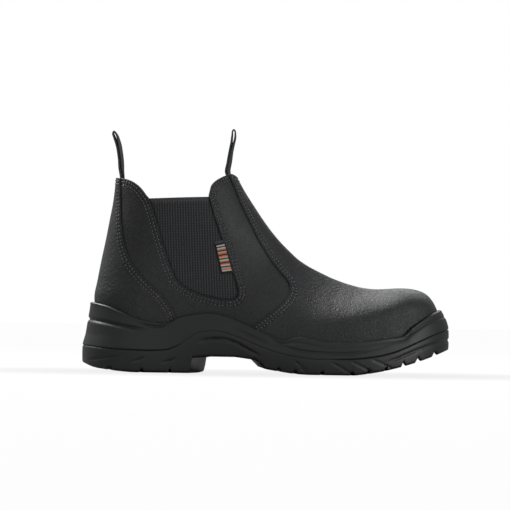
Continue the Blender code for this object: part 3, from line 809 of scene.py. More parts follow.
# The sole: rings of stations from the heel along the lateral side to the toe and back, at the CAD's heights
topEdgeZ, = curves("""
       x     z
  -144.0  58.0
  -132.0  55.3
  -121.0  50.6
  -108.0  45.0
   -96.0  42.4
   -83.0  41.2
   -75.0  45.2
   -62.0  48.6
   -47.0  50.3
   -34.0  48.0
   -18.0  42.0
     0.0  33.8
    16.0  28.2
    22.0  30.4
    29.0  31.3
    41.0  29.0
    55.0  27.2
    75.0  27.8
   100.0  31.1
   114.0  33.8
   121.0  40.6
   130.0  47.4
   144.0  56.0
""")
jointEdgeZ, = curves("""
       x     z
  -151.0  25.3
  -138.0  21.4
  -121.0  19.2
   -96.0  18.3
   -84.0  18.8
   -73.0  22.4
   -63.0  29.1
   -55.0  33.6
   -43.0  35.2
   -34.0  34.0
   -21.0  30.0
    -4.5  23.3
    12.0  17.7
    29.0  14.2
    46.0  12.8
    67.0  13.1
    88.0  15.2
   104.0  19.1
   121.0  26.8
   137.0  35.0
   151.0  41.2
""")
jointZ, = curves("""
       x     z
  -152.0  23.5
  -120.0  19.3
   -90.0  18.4
   -50.0  19.6
   -20.0  18.4
    10.0  13.4
    46.0  11.0
    80.0  11.8
   112.0  16.6
   152.0  27.5
""")
groundZ, = curves("""
       x     z
  -152.0   7.6
  -142.0   3.6
  -133.0   2.2
  -121.0   0.8
  -108.0   0.0
   -57.0   0.0
   -45.0   2.5
    -8.0   5.6
     4.0   3.6
    12.5   2.3
    21.0   1.1
    30.0   0.3
    37.0   0.0
    72.0   0.0
    84.0   1.3
    98.0   3.8
   111.0   7.0
   123.0  10.6
   137.0  15.6
   152.0  22.0
""")
flare, = curves("""
       x     z
  -141.0  12.4
  -110.0   8.4
   -60.0   6.2
   100.0   6.0
   146.0   6.8
""")

# Lines moulded into the sole's wall: points, width, depth, and where each fades in and out
wallGrooves = {
    "kick": ([(-156.0, 45.2), (-145.8, 44.2), (-134.9, 42.3), (-125.7, 40.3), (-113.2, 37.6), (-102.3, 36.1),
              (-92.0, 35.6)], 1.5, 1.7, (-170.0, -169.0, -112.0, -96.0)),
    "heelLip": ([(-112.0, 42.6), (-102.4, 40.2), (-94.9, 38.6), (-88.1, 38.2), (-83.0, 39.4), (-78.0, 42.8),
                 (-74.0, 45.6)], 1.1, 0.9, (-108.0, -98.0, -78.0, -74.0)),
    "arch": ([(-62.0, 22.0), (-50.4, 27.7), (-42.1, 29.0), (-33.8, 28.7), (-21.2, 24.7), (-12.8, 19.9),
              (-6.0, 16.5), (4.0, 12.0)], 1.2, 1.2, (-58.0, -48.0, -12.0, -2.0)),
    "waist": ([(-50.0, 43.2), (-38.0, 42.2), (-25.0, 38.0), (-12.0, 32.0), (3.8, 26.2), (16.4, 23.0),
               (29.0, 19.9), (45.7, 18.4), (62.4, 17.8), (74.9, 18.8), (87.4, 21.7), (99.8, 25.4),
               (112.3, 29.6)], 1.6, 0.8, (-46.0, -10.0, 70.0, 108.0)),
    "upperWaist": ([(-8.0, 34.0), (3.8, 29.0), (14.0, 25.3), (24.0, 26.6), (34.0, 25.6), (45.7, 23.4),
                    (62.4, 22.6), (80.0, 23.8)], 1.4, 0.55, (0.0, 14.0, 52.0, 76.0)),
    "toeStep": ([(96.0, 30.0), (108.0, 32.2), (118.0, 35.0), (126.0, 40.6), (134.0, 45.6), (156.0, 52.0)],
                1.3, 0.7, (100.0, 118.0, 170.0, 171.0)),
    "toeLow": ([(92.0, 9.4), (101.0, 12.0), (112.0, 16.6), (123.0, 21.8), (137.0, 27.4), (156.0, 33.0)],
               1.5, 0.9, (94.0, 112.0, 170.0, 171.0)),
    "heelMarkA": ([(-137.5, 9.5), (-128.0, 11.6), (-118.5, 13.4)],
                  1.0, 0.8, (-138.0, -134.0, -121.0, -117.0)),
    "heelMarkB": ([(-109.0, 8.6), (-100.5, 12.2)], 1.0, 0.8, (-110.0, -107.0, -102.5, -99.5)),
    "heelMarkC": ([(-85.0, 8.4), (-74.0, 11.8)], 1.0, 0.8, (-86.0, -83.0, -76.5, -73.5)),
    "foreMarkA": ([(24.5, 12.2), (31.6, 5.5), (35.0, 1.5)], 0.9, 0.7, (24.0, 26.0, 60.0, 61.0)),
    "foreMarkB": ([(55.5, 10.5), (65.0, 5.1), (70.5, 1.5)], 0.9, 0.7, (55.0, 57.5, 90.0, 91.0)),
    "foreMarkC": ([(71.5, 11.5), (80.8, 6.9), (90.0, 2.0)], 0.9, 0.7, (71.0, 73.5, 100.0, 101.0)),
    "foreMarkD": ([(88.0, 13.5), (98.4, 8.9), (105.0, 5.5)], 0.9, 0.7, (87.5, 90.0, 110.0, 111.0)),
}
cupGrooves = ("kick", "heelLip", "arch", "waist", "upperWaist", "toeStep")
treadGrooves = ("arch", "toeLow", "heelMarkA", "heelMarkB", "heelMarkC",
                "foreMarkA", "foreMarkB", "foreMarkC", "foreMarkD")


def grooveDepth(names, x, z):
    total = np.zeros(x.size)
    for name in names:
        line, width, depth, (fadeIn, fullFrom, fullTo, fadeOut) = wallGrooves[name]
        away = awayFrom(x, z, fineEdge(line, 3.0), closed=False)
        strength = eased(x.ravel(), fadeIn, fullFrom) * (1 - eased(x.ravel(), fullTo, fadeOut))
        total += depth * strength * np.exp(-(away / width) ** 2 * 1.6)
    return total.reshape(x.shape)


soleStations = 300
evenShares = (1 - np.cos(np.pi * np.arange(soleStations + 1) / soleStations)) / 2


def solePlace(heightOf, beyondOf, shares=None):
    # ring positions; heightOf and beyondOf take x and give an array
    down, back = shares or (evenShares, evenShares)
    share = np.concatenate([down, back[-2:0:-1]])
    side = np.where(np.arange(len(share)) < len(down), lateral, medial)
    x = float(backX(31.0)) + share * (last["tipX"] - float(backX(31.0)))
    for _ in range(3):
        held = np.maximum(heightOf(x), featherZ(x))
        x = backX(held) + share * (frontX(held) - backX(held))
    z = heightOf(x)
    y = lastY(x, np.maximum(z, featherZ(x)), side)
    ring = np.stack([x, y, z], axis=1)
    tangent = np.roll(ring, -2, axis=0) - np.roll(ring, 2, axis=0)
    normal = unit(np.stack([tangent[:, 1], -tangent[:, 0]], axis=1))
    if normal[0, 0] > 0:
        normal = -normal
    return ring, normal, beyondOf(x)


def soleWall(levels, between, grooves, shares=None):
    # a wall through control rings, each (height, beyond) as functions of x, with moulded lines cut into it
    knots = [0.0]
    for gap in between:
        knots.extend(np.linspace(knots[-1], knots[-1] + 1, gap + 1)[1:])
    places, rings = np.arange(len(levels)), []
    for v in knots:
        rings.append(solePlace(
            lambda x: follow(places, [height(x) for height, _ in levels])(v),
            lambda x: follow(places, [beyond(x) for _, beyond in levels])(v),
            shares,
        ))
    points, normals, out = (np.array(part) for part in zip(*rings))
    out = out - grooveDepth(grooves, points[..., 0], points[..., 2])
    points[..., :2] += normals * out[..., None]
    return points


def ringFaces(rows, around):
    index = np.arange(rows * around).reshape(rows, around)
    ahead = np.roll(index, -1, axis=1)
    corners = np.stack([index[:-1], ahead[:-1], ahead[1:], index[1:]], axis=-1).reshape(-1, 4)
    return [tuple(face) for face in corners]


def withoutRepeats(face):
    return tuple(corner for k, corner in enumerate(face) if corner not in face[:k])


def capFaces(count):
    # fills the first ring, which runs down the lateral side and back up the medial one
    size = 2 * count
    return [withoutRepeats([i, i + 1, size - i - 1, (size - i) % size]) for i in range(count)]


def fillRows(wall, count, columns, rowAt):
    # a wall closed at its first ring, and at its last ring by rows across whose inner points rowAt gives
    rings, size = wall.shape[:2]
    points, rows = [wall.reshape(-1, 3)], []
    start, extra = (rings - 1) * size, rings * size
    share = np.linspace(0, 1, columns + 1)[1:-1]
    for k in range(count + 1):
        if k in (0, count):
            rows.append([start + k] * (columns + 1))
            continue
        points.append(rowAt(k, wall[-1, k], wall[-1, size - k], share))
        rows.append([start + k] + list(range(extra, extra + columns - 1)) + [start + size - k])
        extra += columns - 1
    faces = ringFaces(rings, size) + capFaces(count)
    for a, b in zip(rows[:-1], rows[1:]):
        between = [withoutRepeats([a[j], a[j + 1], b[j + 1], b[j]]) for j in range(columns)]
        faces += [face for face in between if len(face) > 2]
    return np.vstack(points), faces


def turnOutward(made):
    edit = bmesh.new()
    edit.from_mesh(made.data)
    bmesh.ops.recalc_face_normals(edit, faces=edit.faces)
    edit.to_mesh(made.data)
    edit.free()


def outwardFaces(points, faces):
    # turned so that the faces point away from the middle of the piece
    points = np.asarray(points)
    middle = points.mean(axis=0)
    total = 0.0
    for face in faces[:: max(1, len(faces) // 4000)]:
        a, b, c = points[face[0]], points[face[1]], points[face[2]]
        total += np.dot(np.cross(b - a, c - a), a - middle)
    return faces if total > 0 else [tuple(face)[::-1] for face in faces]


# Midsole: one moulded cup, from the joint with the tread up over its rounded lip and in under the leather.
# The lip's profile is how far below the cup's edge and how far out from the last each ring lies
cupLook = {
    "dip": 0.8,
    "lipProfile": ((2.4, 3.7), (0.8, 3.55), (0.1, 2.65), (-0.02, 1.7), (0.7, 0.2), (4.0, -1.2)),
    "between": (2, 3, 22, 22, 4, 4, 4, 4, 2),
}


def jointDip(x):
    # how deep the line between cup and tread lies: hardly at all along the arch
    return cupLook["dip"] * (1 - eased(x, -84.0, -68.0) * (1 - eased(x, 50.0, 75.0))) + 0.05


def buildMidsole():
    levels = [
        (lambda x: jointZ(x) + 0.7, lambda x: flare(x) - 6.0),
        (lambda x: jointEdgeZ(x) + 0.06, lambda x: flare(x) - 0.1 - jointDip(x)),
        (lambda x: jointEdgeZ(x) + 1.1, flare),
        (lambda x: jointEdgeZ(x) * 0.5 + topEdgeZ(x) * 0.5, lambda x: flare(x) * 0.4 + 2.7),
    ]
    for drop, out in cupLook["lipProfile"]:
        levels.append((lambda x, drop=drop: topEdgeZ(x) - drop, lambda x, out=out: out + 0 * x))
    wall = soleWall(levels, cupLook["between"], cupGrooves)
    flat = wall.reshape(-1, 3)
    faces = outwardFaces(flat, ringFaces(*wall.shape[:2]) + capFaces(soleStations))
    makePiece("midsoleCup", flat, faces, cupFinish, nodes=["midsole"])


buildMidsole()
print("midsole made")


# Outsole: the wall below the joint and the tread, whose rows run along the grooves, each row at one depth.
# Grooves: where each crosses the middle, how far it leans forward at 40 mm out, its width, and how wide each
# of its sloping sides is
grooveRows = table("""
  middle   lean  width  draft
  -133.0    5.0    3.4   0.45
  -109.0    6.0    3.4   0.45
   -85.0    6.0    3.4   0.45
     6.5    4.0    3.0   0.45
    17.5    6.0    3.4   0.45
    38.0    7.0    3.6   0.45
    63.0    7.0    3.6   0.45
    77.0    7.0    3.4   0.45
    93.0    6.0    3.6   0.45
   114.3    0.0    4.6   1.90
   126.6    0.0    5.0   2.10
   140.2    0.0    5.0   2.10
""")
archRows = table("""
       u  height  lateralLean  medialLean
  -57.95    -4.0        -6.45        6.45
  -55.30     6.4        -6.20        6.20
  -54.35    12.6        -6.15        6.15
  -44.00    13.9        -2.76        2.76
  -25.20    13.9         0.00        0.00
  -10.25    11.6         2.24       -2.24
   -4.55     6.6         2.80       -2.80
   -1.50    -4.0         2.76       -2.76
""")
treadLook = {
    "edge": -1.8,  # how far the tread's lower edge lies inside the flare
    "grooveDepth": 4.5, "wallShare": 0.5, "toeShare": 0.75, "toeBegins": 105.0,
    "heelGrooves": 3, "leanAt": 40.0, "archSteps": (-57.0, -56.2, -54.9, -3.6, -2.7),
    "columns": 72, "rowSpacing": 1.9, "outlineSteps": 1400, "tip": 6.0,
    "sipes": (-121.0, -97.0, -71.5, 28.0, 50.5, 101.0), "sipeWidth": 1.1, "sipeDepth": 1.7, "sipeDraft": 0.3,
}


def treadRowPlaces(starts, ends):
    # where the rows cross the tread's middle: at each edge of a groove, sipe or arch, and evenly between
    edges = list(archRows["u"]) + list(treadLook["archSteps"])
    for middle, width, draft in zip(grooveRows["middle"], grooveRows["width"], grooveRows["draft"]):
        for side in (-1, 1):
            edge = middle + side * width / 2
            edges += [edge + side * 0.5, edge, edge - side * draft, edge - side * draft - side * 0.4]
    half, draft = treadLook["sipeWidth"] / 2, treadLook["sipeDraft"]
    for middle in treadLook["sipes"]:
        for beyond in (draft, 0.0, -draft):
            edges += [middle - half - beyond, middle + half + beyond]
    tip = treadLook["tip"]
    edges = [place for place in edges if starts + tip < place < ends - tip]
    tips = np.array([0.03, 0.12, 0.3, 0.6, 1.0, 1.6, 2.4, 3.4, 4.6, tip])
    anchors = np.sort(np.concatenate([starts + tips, edges, ends - tips]))
    filled = [anchors]
    for low, high in zip(anchors[:-1], anchors[1:]):
        count = int((high - low) / treadLook["rowSpacing"])
        filled.append(np.linspace(low, high, count + 2)[1:-1])
    return np.sort(np.concatenate(filled))


def buildOutsole():
    look = treadLook
    steps, edge = look["outlineSteps"], look["edge"]
    fine = (1 - np.cos(np.pi * np.arange(steps + 1) / steps)) / 2
    ring, normal, beyond = solePlace(groundZ, lambda x: flare(x) + edge, (fine, fine))
    ring[:, :2] += normal * beyond[:, None]
    starts, ends = float(ring[0, 0]), float(ring[steps, 0])
    outlines = (ring[:steps + 1], np.vstack([ring[:1], ring[:steps - 1:-1]]))
    u = treadRowPlaces(starts, ends)

    # each row leans forward from the middle outwards, as the grooves beside it do
    def fromHeelToToe(grooveColumn, archColumn, end):
        heel, fore = grooveColumn[:look["heelGrooves"]], grooveColumn[look["heelGrooves"]:]
        return np.concatenate([[-end], heel, archColumn, fore, [end]])

    leanU = fromHeelToToe(grooveRows["middle"], archRows["u"], 152.0)
    leans = [
        fromHeelToToe(grooveRows["lean"], archRows[side], 0.0) / look["leanAt"]
        for side in ("lateralLean", "medialLean")
    ]

    # where each row meets the outline, as shares of the way from heel to toe
    shares = []
    for outline, lean in zip(outlines, leans):
        x, out = outline[:, 0], np.abs(outline[:, 1])
        slopes = np.interp(u, leanU, lean)
        reached = [np.interp(0.0, x - place - slope * out, fine) for place, slope in zip(u, slopes)]
        shares.append(np.maximum.accumulate(np.concatenate([[0.0], reached, [1.0]])))

    rowU = np.concatenate([[starts], u, [ends]])
    count = len(rowU) - 1
    depth = np.zeros(len(rowU))
    for middle, width, draft in zip(grooveRows["middle"], grooveRows["width"], grooveRows["draft"]):
        away = np.abs(rowU - middle)
        depth = np.maximum(depth, look["grooveDepth"] * np.clip((width / 2 - away) / draft, 0, 1))
    arch = np.interp(rowU, archRows["u"], archRows["height"], left=-9.0, right=-9.0)
    wallShare = np.where(rowU > look["toeBegins"], look["toeShare"], look["wallShare"])
    around = np.concatenate([np.arange(count + 1), np.arange(count - 1, 0, -1)])
    depthAround, archAround = (depth * wallShare)[around], arch[around]

    # the wall stands out from the form, so its lower edge takes its height from where it really is
    ring, normal, beyond = solePlace(groundZ, lambda x: flare(x) + edge, shares)
    outAround = normal[:, 0] * beyond

    def bottom(x):
        return np.maximum(groundZ(x + outAround) + depthAround, archAround)

    levels = [
        (jointZ, lambda x: flare(x) - 6.2),
        (lambda x: jointEdgeZ(x) - 0.02, lambda x: flare(x) - 0.1 - jointDip(x)),
        (lambda x: jointEdgeZ(x) - 1.0, lambda x: flare(x) + 0.05),
        (lambda x: jointEdgeZ(x) * 0.5 + (bottom(x) + 2.2) * 0.5, lambda x: flare(x) + 0.25),
        (lambda x: bottom(x) + 2.2, lambda x: flare(x) + 0.1),
        (lambda x: bottom(x) + 0.6, lambda x: flare(x) - 0.45),
        (bottom, lambda x: flare(x) + edge),
    ]
    wall = soleWall(levels, (2, 2, 12, 12, 3, 2), treadGrooves, shares)

    def rowAt(k, left, right, share):
        y = left[1] + (right[1] - left[1]) * share
        leanLateral, leanMedial = (np.interp(rowU[k], leanU, lean) for lean in leans)
        x = rowU[k] + np.where(y < 0, leanLateral, leanMedial) * np.abs(y)
        if abs(rowU[k]) > 145:
            x = left[0] + (right[0] - left[0]) * share
        # the grooves are shallower at the wall
        inner = np.clip((np.minimum(share, 1 - share) * 2 - 0.12) / 0.04, 0, 1)
        z = np.maximum(groundZ(x) + depth[k] * (wallShare[k] + (1 - wallShare[k]) * inner), arch[k])
        for middle in look["sipes"]:
            cut = np.clip((look["sipeWidth"] / 2 - abs(rowU[k] - middle)) / look["sipeDraft"], 0, 1)
            z = z + look["sipeDepth"] * cut * inner
        return np.stack([x, y, z], axis=1)

    points, faces = fillRows(wall, count, look["columns"], rowAt)
    made = makePiece("outsoleTread", points, outwardFaces(points, faces), treadFinish, nodes=["outsole"],
                     sharp=42)
    turnOutward(made)


buildOutsole()
print("outsole made")


# Footbed: its top lies a little lower in the middle than along its edge
footbedLook = {"clear": 1.3, "dish": 1.4, "columns": 40, "levels": ((0.3, 0.0), (3.2, 0.0), (4.1, -1.0))}


def buildFootbed():
    inset = -last["wall"] - footbedLook["clear"]
    levels = [
        (lambda x, up=up: featherZ(x) + up, lambda x, out=out: inset + out + 0 * x)
        for up, out in footbedLook["levels"]
    ]
    wall = soleWall(levels, (2, 4), ())

    def rowAt(k, left, right, share):
        row = left + (right - left) * share[:, None]
        wide = min(1.0, abs(right[1] - left[1]) / 40.0)
        row[:, 2] -= footbedLook["dish"] * wide * (1 - (2 * share - 1) ** 4)
        return row

    points, faces = fillRows(wall, soleStations, footbedLook["columns"], rowAt)
    turnOutward(makePiece("footbed", points, faces, footbedFinish, nodes=["insole"]))


buildFootbed()
print("footbed made")


# Leather panels, cut from the last's skin at their own levels, with their edges turned over
panels = {
    "edgeRound": 0.55,
    "vampThick": 2.3,
    "quarterThick": 1.3,
    "quarterLevel": -1.0,  # the quarter lies under the vamp and the counter
    "quarterLow": -0.45,  # less so along the vamp's lower edge
    "overlap": 9.0,  # how far the quarter runs on under what covers it
    "lowBelow": 7.0,  # how far the panels run down behind the sole's lip
    "shadow": 3.0,  # how far beside a covering edge painted shade darkens the quarter
}
lowField = topEdgeZ(skinX) - panels["lowBelow"] - skinZ


def buildPanel(name, parts, level, thickness, nodes=()):
    field = np.maximum.reduce([fields["collar"], lowField] + parts)
    relief = reliefed + skinNormals * np.broadcast_to(level, skinX.shape)[..., None]
    patch = clipGrid(relief, skinNormals, field + panels["edgeRound"], {})
    addRim(patch, rimProfile(panels["edgeRound"], thickness))
    edge = fromEdges(patch["points"], patch["edges"]) + panels["edgeRound"]
    x, z = patch["points"][:, 0], patch["points"][:, 2]
    # shade is painted darkness: dark edge paint and painted shade on the turned-over edges, painted shade
    # along the sole's lip, and on the quarters painted shadow beside the vamp's and the counter's edges
    shade = eased(edge, 0.55, 1.1) * (0.5 + 0.5 * eased(z - topEdgeZ(x), -0.5, 2.5))
    if name == "quarters":
        for outline in (vampOutline, counterOutline):
            shade = shade * eased(awayFrom(x, z, outline), -0.3, panels["shadow"])
    makePiece(name, patch["points"], patch["faces"], leatherFinish, {"fromEdge": edge, "shade": shade}, nodes)
    return patch


vampPatch = buildPanel("vamp", [fields["vamp"]], 0.0, panels["vampThick"], ["upper"])
counterPatch = buildPanel("heelCounter", [fields["counter"]], 0.0, panels["vampThick"])
overlap = panels["overlap"]
lowShare = (1 - eased(skinZ, 50.0, 80.0)) * eased(skinX, -40.0, -10.0)
quarterLevel = panels["quarterLevel"] + (panels["quarterLow"] - panels["quarterLevel"]) * lowShare
quarterParts = [-fields["gore"], -(fields["vamp"] + overlap), -(fields["counter"] + overlap)]
quarterPatch = buildPanel("quarters", quarterParts, quarterLevel, panels["quarterThick"])
print("leather panels made")


# Lining: textile, a little lower than the leather at the collar and open at the elastic
liningLook = {"level": -3.0, "belowCollar": 0.9, "goreOpening": 3.0, "aboveFeather": 1.5}


def buildLining():
    field = np.maximum.reduce([
        fields["collar"] + liningLook["belowCollar"], liningLook["goreOpening"] - fields["gore"],
        featherZ(skinX) + liningLook["aboveFeather"] - skinZ,
    ])
    patch = clipGrid(skinPoints + skinNormals * liningLook["level"], skinNormals, field, {})
    addRim(patch, [(0.3, -0.08), (0.5, -0.35), (0.5, -0.95)])
    faces = [face[::-1] for face in patch["faces"]]
    makePiece("lining", patch["points"], faces, liningFinish)


buildLining()


# Gores: elastic that runs on under the leather round it, with a bound top edge painted lighter as its
# highlight
goreLook = {"level": -1.7, "thick": 1.1, "under": 6.0, "lean": 0.043, "boundFrom": -4.2, "boundTo": -3.6}
goreTop = ([-112.0, -99.4, -48.4, -36.0], [144.2, 144.9, 147.1, 147.6])


def buildGore(name, side, node):
    level, thick, lean = goreLook["level"], goreLook["thick"], goreLook["lean"]
    top = np.interp(skinX, *goreTop)
    field = np.maximum(fields["gore"] - goreLook["under"], skinZ - top + 0.6)
    field = np.where(skinSides == side, field, 9.0)
    turn = math.hypot(1.0, lean)
    extras = {
        "across": (skinX + skinZ * lean) / turn,
        "along": (skinZ - skinX * lean) / turn,
        # shade: painted shadow on the elastic along the leather's edges that lie over it
        "shade": eased(-fields["gore"], 0.2, 2.0),
        # the bound top edge's band, painted lighter as a highlight
        "boundHighlight": eased(skinZ - top, goreLook["boundFrom"], goreLook["boundTo"]),
    }
    outer = clipGrid(skinPoints + skinNormals * level, skinNormals, field, extras)
    addRim(outer, [(0.25, 0.07), (0.45, 0.3), (0.5, thick / 2), (0.45, thick - 0.3), (0.25, thick - 0.07),
                   (0.0, thick)])
    inner = clipGrid(skinPoints + skinNormals * (level - thick), skinNormals, field, extras)
    start = len(outer["points"])
    points = np.vstack([outer["points"], inner["points"]])
    faces = outer["faces"] + [tuple(int(k) + start for k in face[::-1]) for face in inner["faces"]]
    extras = {key: np.concatenate([outer["extras"][key], inner["extras"][key]]) for key in extras}
    makePiece(name, points, faces, elasticFinish, extras, [node])


buildGore("goreLateral", lateral, "gore_lateral")
buildGore("goreMedial", medial, "gore_medial")
print("lining and gores made")


# Pull loops: webbing folded over, sewn down inside the collar
loopLook = {
    "thick": 1.3, "width": 17.0, "steps": 240,
    # heights, and how far the webbing turns there, in mm forward for each mm towards the inner side
    "turnZ": (162.0, 172.0, 189.0, 197.0, 201.0), "turnRear": (0.0, 0.10, 0.12, 0.05, 0.0),
    "turnFront": (0.0, 0.03, 0.06, 0.03, 0.0),
}
loopFrontLine = [
    (-21.7, 146.0), (-26.7, 154.0), (-31.1, 162.0), (-33.4, 168.0), (-32.5, 174.0), (-32.0, 178.2),
    (-31.1, 186.5), (-30.5, 192.3), (-30.3, 196.5), (-30.1, 200.0), (-29.7, 202.4), (-28.9, 203.1),
    (-28.1, 202.3), (-27.6, 200.0), (-27.6, 196.5), (-28.3, 192.3), (-29.4, 186.5), (-30.4, 178.2),
    (-31.0, 174.0), (-31.8, 168.0), (-29.4, 162.0), (-25.0, 154.0), (-20.0, 146.0),
]
loopRearLine = [
    (-124.1, 146.0), (-123.3, 154.0), (-122.8, 161.0), (-123.4, 165.5), (-124.1, 170.0), (-124.4, 176.5),
    (-124.9, 181.0), (-125.4, 185.1), (-126.2, 189.3), (-127.7, 193.4), (-129.0, 196.7), (-129.5, 199.0),
    (-128.8, 200.3), (-127.6, 199.2), (-126.1, 196.7), (-125.1, 193.4), (-124.2, 189.3), (-123.6, 185.1),
    (-123.1, 181.0), (-122.7, 176.5), (-122.3, 170.0), (-121.7, 165.5), (-121.1, 161.0), (-121.7, 154.0),
    (-122.5, 146.0),
]


def buildLoop(name, line, bow, turns, node):
    path = smoothPath(line, loopLook["steps"])
    along = unit(np.gradient(path, axis=0))
    across = np.stack([-along[:, 1], along[:, 0]], axis=1)
    half, wide = loopLook["thick"] / 2, loopLook["width"] / 2
    flat = np.linspace(-1, 1, 19) * (wide - half)
    turn = np.radians(np.linspace(90, -90, 9))[1:-1]
    rounds = [(wide - half + half * math.cos(a), half * math.sin(a)) for a in turn]
    section = [(y, half) for y in flat] + rounds + [(y, -half) for y in flat[::-1]]
    section = np.array(section + [(-y, -thick) for y, thick in rounds])
    travelled = np.concatenate([[0], np.cumsum(np.linalg.norm(np.diff(path, axis=0), axis=1))])
    y, thick = section.T
    fade = eased(path[:, 1:], 200.0, 168.0)  # the bow goes towards the top
    turned = np.interp(path[:, 1:], loopLook["turnZ"], turns)
    x = path[:, :1] + across[:, :1] * thick + bow * y * y * fade + turned * y
    z = path[:, 1:] + across[:, 1:] * thick
    points = np.stack([x, np.broadcast_to(y, x.shape), z], axis=-1).reshape(-1, 3)
    rows, count = x.shape
    ends = [tuple(range(count))[::-1], tuple(range((rows - 1) * count, rows * count))]
    faces = ringFaces(rows, count) + ends
    extras = {"across": np.tile(y, rows), "along": np.repeat(travelled, count)}
    turnOutward(makePiece(name, points, faces, loopFinish, extras, [node], sharp=50))


buildLoop("pullLoopFront", loopFrontLine, -0.027, loopLook["turnFront"], "pull_loop_front")
buildLoop("pullLoopRear", loopRearLine, 0.016, loopLook["turnRear"], "pull_loop_rear")
print("pull loops made")


# Stitches: short raised capsules in two rows along the sewn edges, each snapped down on its panel
stitchLook = {
    "pitch": 3.1, "length": 1.85, "thick": 1.0, "rows": (2.3, 5.2), "around": 8, "lift": 0.08, "sink": 0.7,
    # shares of the half length, and of the radius there
    "profile": ((-1.0, 0.25), (-0.86, 0.72), (-0.6, 0.95), (-0.2, 1.0),
                (0.2, 1.0), (0.6, 0.95), (0.86, 0.72), (1.0, 0.25)),
}


def capsuleMesh():
    # a stitch along x, lying on z = 0: a rounded cord whose ends dip into the leather
    half, radius, around = stitchLook["length"] / 2, stitchLook["thick"] / 2, stitchLook["around"]
    points = []
    for share, size in stitchLook["profile"]:
        sunk = stitchLook["sink"] * radius * share ** 4
        for a in 2 * math.pi * np.arange(around) / around:
            points.append((share * half, size * radius * math.cos(a), size * radius * math.sin(a) - sunk))
    rings = len(stitchLook["profile"])
    ends = [tuple(range(around)), tuple(range((rings - 1) * around, rings * around))[::-1]]
    return np.array(points), ringFaces(rings, around) + ends


capsulePoints, capsuleFaces = capsuleMesh()


def stitchPlaces(patch, tree, keep):
    # places along a panel's open edges, side by side in rows at set distances in from them
    places, rows = [], stitchLook["rows"]
    places = []
    for ring in patch["edges"]:
        normals = np.array([tree.find_nearest(Vector(point))[1] for point in ring])
        tangent = ringTangent(ring, (1, 2, 3, 4))
        inward = -unit(np.cross(unit(tangent), normals))
        edgeTree = nearestTree(ring)

        def clearOfEdge(spots, reach):
            return np.array([edgeTree.find(spot)[2] for spot in spots]) > reach - 0.35

        reach = rows[0] - panels["edgeRound"]
        moved = ring + inward * reach
        clear = clearOfEdge(moved, reach)
        line, inwards = moved[clear], inward[clear]
        steps = np.linalg.norm(np.roll(line, -1, axis=0) - line, axis=1)
        travelled = np.concatenate([[0], np.cumsum(steps)])
        smooth = np.vstack([line, line[:1]])
        for _ in range(4):
            smooth[1:-1] = (smooth[:-2] + 2 * smooth[1:-1] + smooth[2:]) / 4
        count = max(4, int(travelled[-1] / stitchLook["pitch"]))
        where = (np.arange(count) + 0.5) * travelled[-1] / count
        spots = np.stack([np.interp(where, travelled, smooth[:, k]) for k in range(3)], axis=1)
        turned = np.vstack([inwards, inwards[:1]])
        turned = unit(np.stack([np.interp(where, travelled, turned[:, k]) for k in range(3)], axis=1))
        ahead = unit(np.roll(spots, -1, axis=0) - np.roll(spots, 1, axis=0))
        shown = keep(spots)
        for distance in rows:
            beside = spots + turned * (distance - rows[0])
            fits = shown & clearOfEdge(beside, distance - panels["edgeRound"])
            places += [(spot, direction) for spot, direction, fit in zip(beside, ahead, fits) if fit]
    return places


def buildStitches(name, patch, keep):
    surface = [tuple(int(k) for k in face) for face in patch["faces"]]
    tree = BVHTree.FromPolygons(patch["points"].tolist(), surface)
    points, faces = [], []
    for spot, direction in stitchPlaces(patch, tree, keep):
        place, normal, _, _ = tree.find_nearest(Vector(spot))
        z = np.array(normal)
        x = unit(direction - z * np.dot(direction, z))
        y = np.cross(z, x)
        start = len(points) * len(capsulePoints)
        points.append(np.array(place) + z * stitchLook["lift"] + capsulePoints @ np.stack([x, y, z]))
        faces += [tuple(k + start for k in face) for face in capsuleFaces]
    makePiece(name, np.vstack(points), faces, threadFinish)
    return len(points)


def aboveSole(line):
    return line[:, 2] > topEdgeZ(line[:, 0]) + 1.5


def shownQuarter(line):
    clearVamp = awayFrom(line[:, 0], line[:, 2], vampOutline) > 1.5
    clearCounter = awayFrom(line[:, 0], line[:, 2], counterOutline) > 1.5
    return aboveSole(line) & clearVamp & clearCounter


counts = [
    buildStitches("vampStitches", vampPatch, aboveSole),
    buildStitches("counterStitches", counterPatch, aboveSole),
    buildStitches("openingStitches", quarterPatch, shownQuarter),
]
print("stitches made:", counts)


# Side tab: a small woven label tucked under the leather at the front edge of the lateral elastic.
# It bears plain stripes only
tabLook = {
    "corners": [(-43.9, 109.3), (-34.9, 111.5), (-26.8, 84.0), (-37.6, 82.6)],
    "level": -1.05, "thick": 0.6, "edgeDrop": 0.35, "across": 14, "along": 30,
    "ground": "151517", "topStrip": "3c3d3f", "topStripEnds": 0.07,
    "inside": 0.37, "starts": 0.13, "ends": 0.92,
    "threads": {"white": "b4b2ac", "black": "1c1c1e", "orange": "c4642c", "grey": "a5a39d"},
    "stripes": "white black white orange black grey orange black orange grey"
               " black white orange black orange white black grey orange white",
}


def tabFinish():
    look = tabLook
    made, tree, shader = newMaterial("wovenTab", Roughness=0.8)
    across, along = attribute(tree, "across"), attribute(tree, "along")
    colours = [look["threads"][name] for name in look["stripes"].split()]
    starts, ends = look["starts"], look["ends"]
    stops = [(starts + (ends - starts) * k / len(colours), linear(code)) for k, code in enumerate(colours)]
    stripes = ramp(tree, along, stops + [(ends, linear(look["ground"]))], "CONSTANT")
    middle = calculate(tree, "ABSOLUTE", calculate(tree, "SUBTRACT", across, 0.5))
    inside = calculate(tree, "LESS_THAN", middle, look["inside"])
    inside = calculate(tree, "MULTIPLY", inside, calculate(tree, "GREATER_THAN", along, starts))
    strip = calculate(tree, "LESS_THAN", along, look["topStripEnds"])
    border = mixed(tree, strip, linear(look["ground"]), linear(look["topStrip"]))
    tree.links.new(mixed(tree, inside, border, stripes), shader.inputs["Base Color"])
    return made


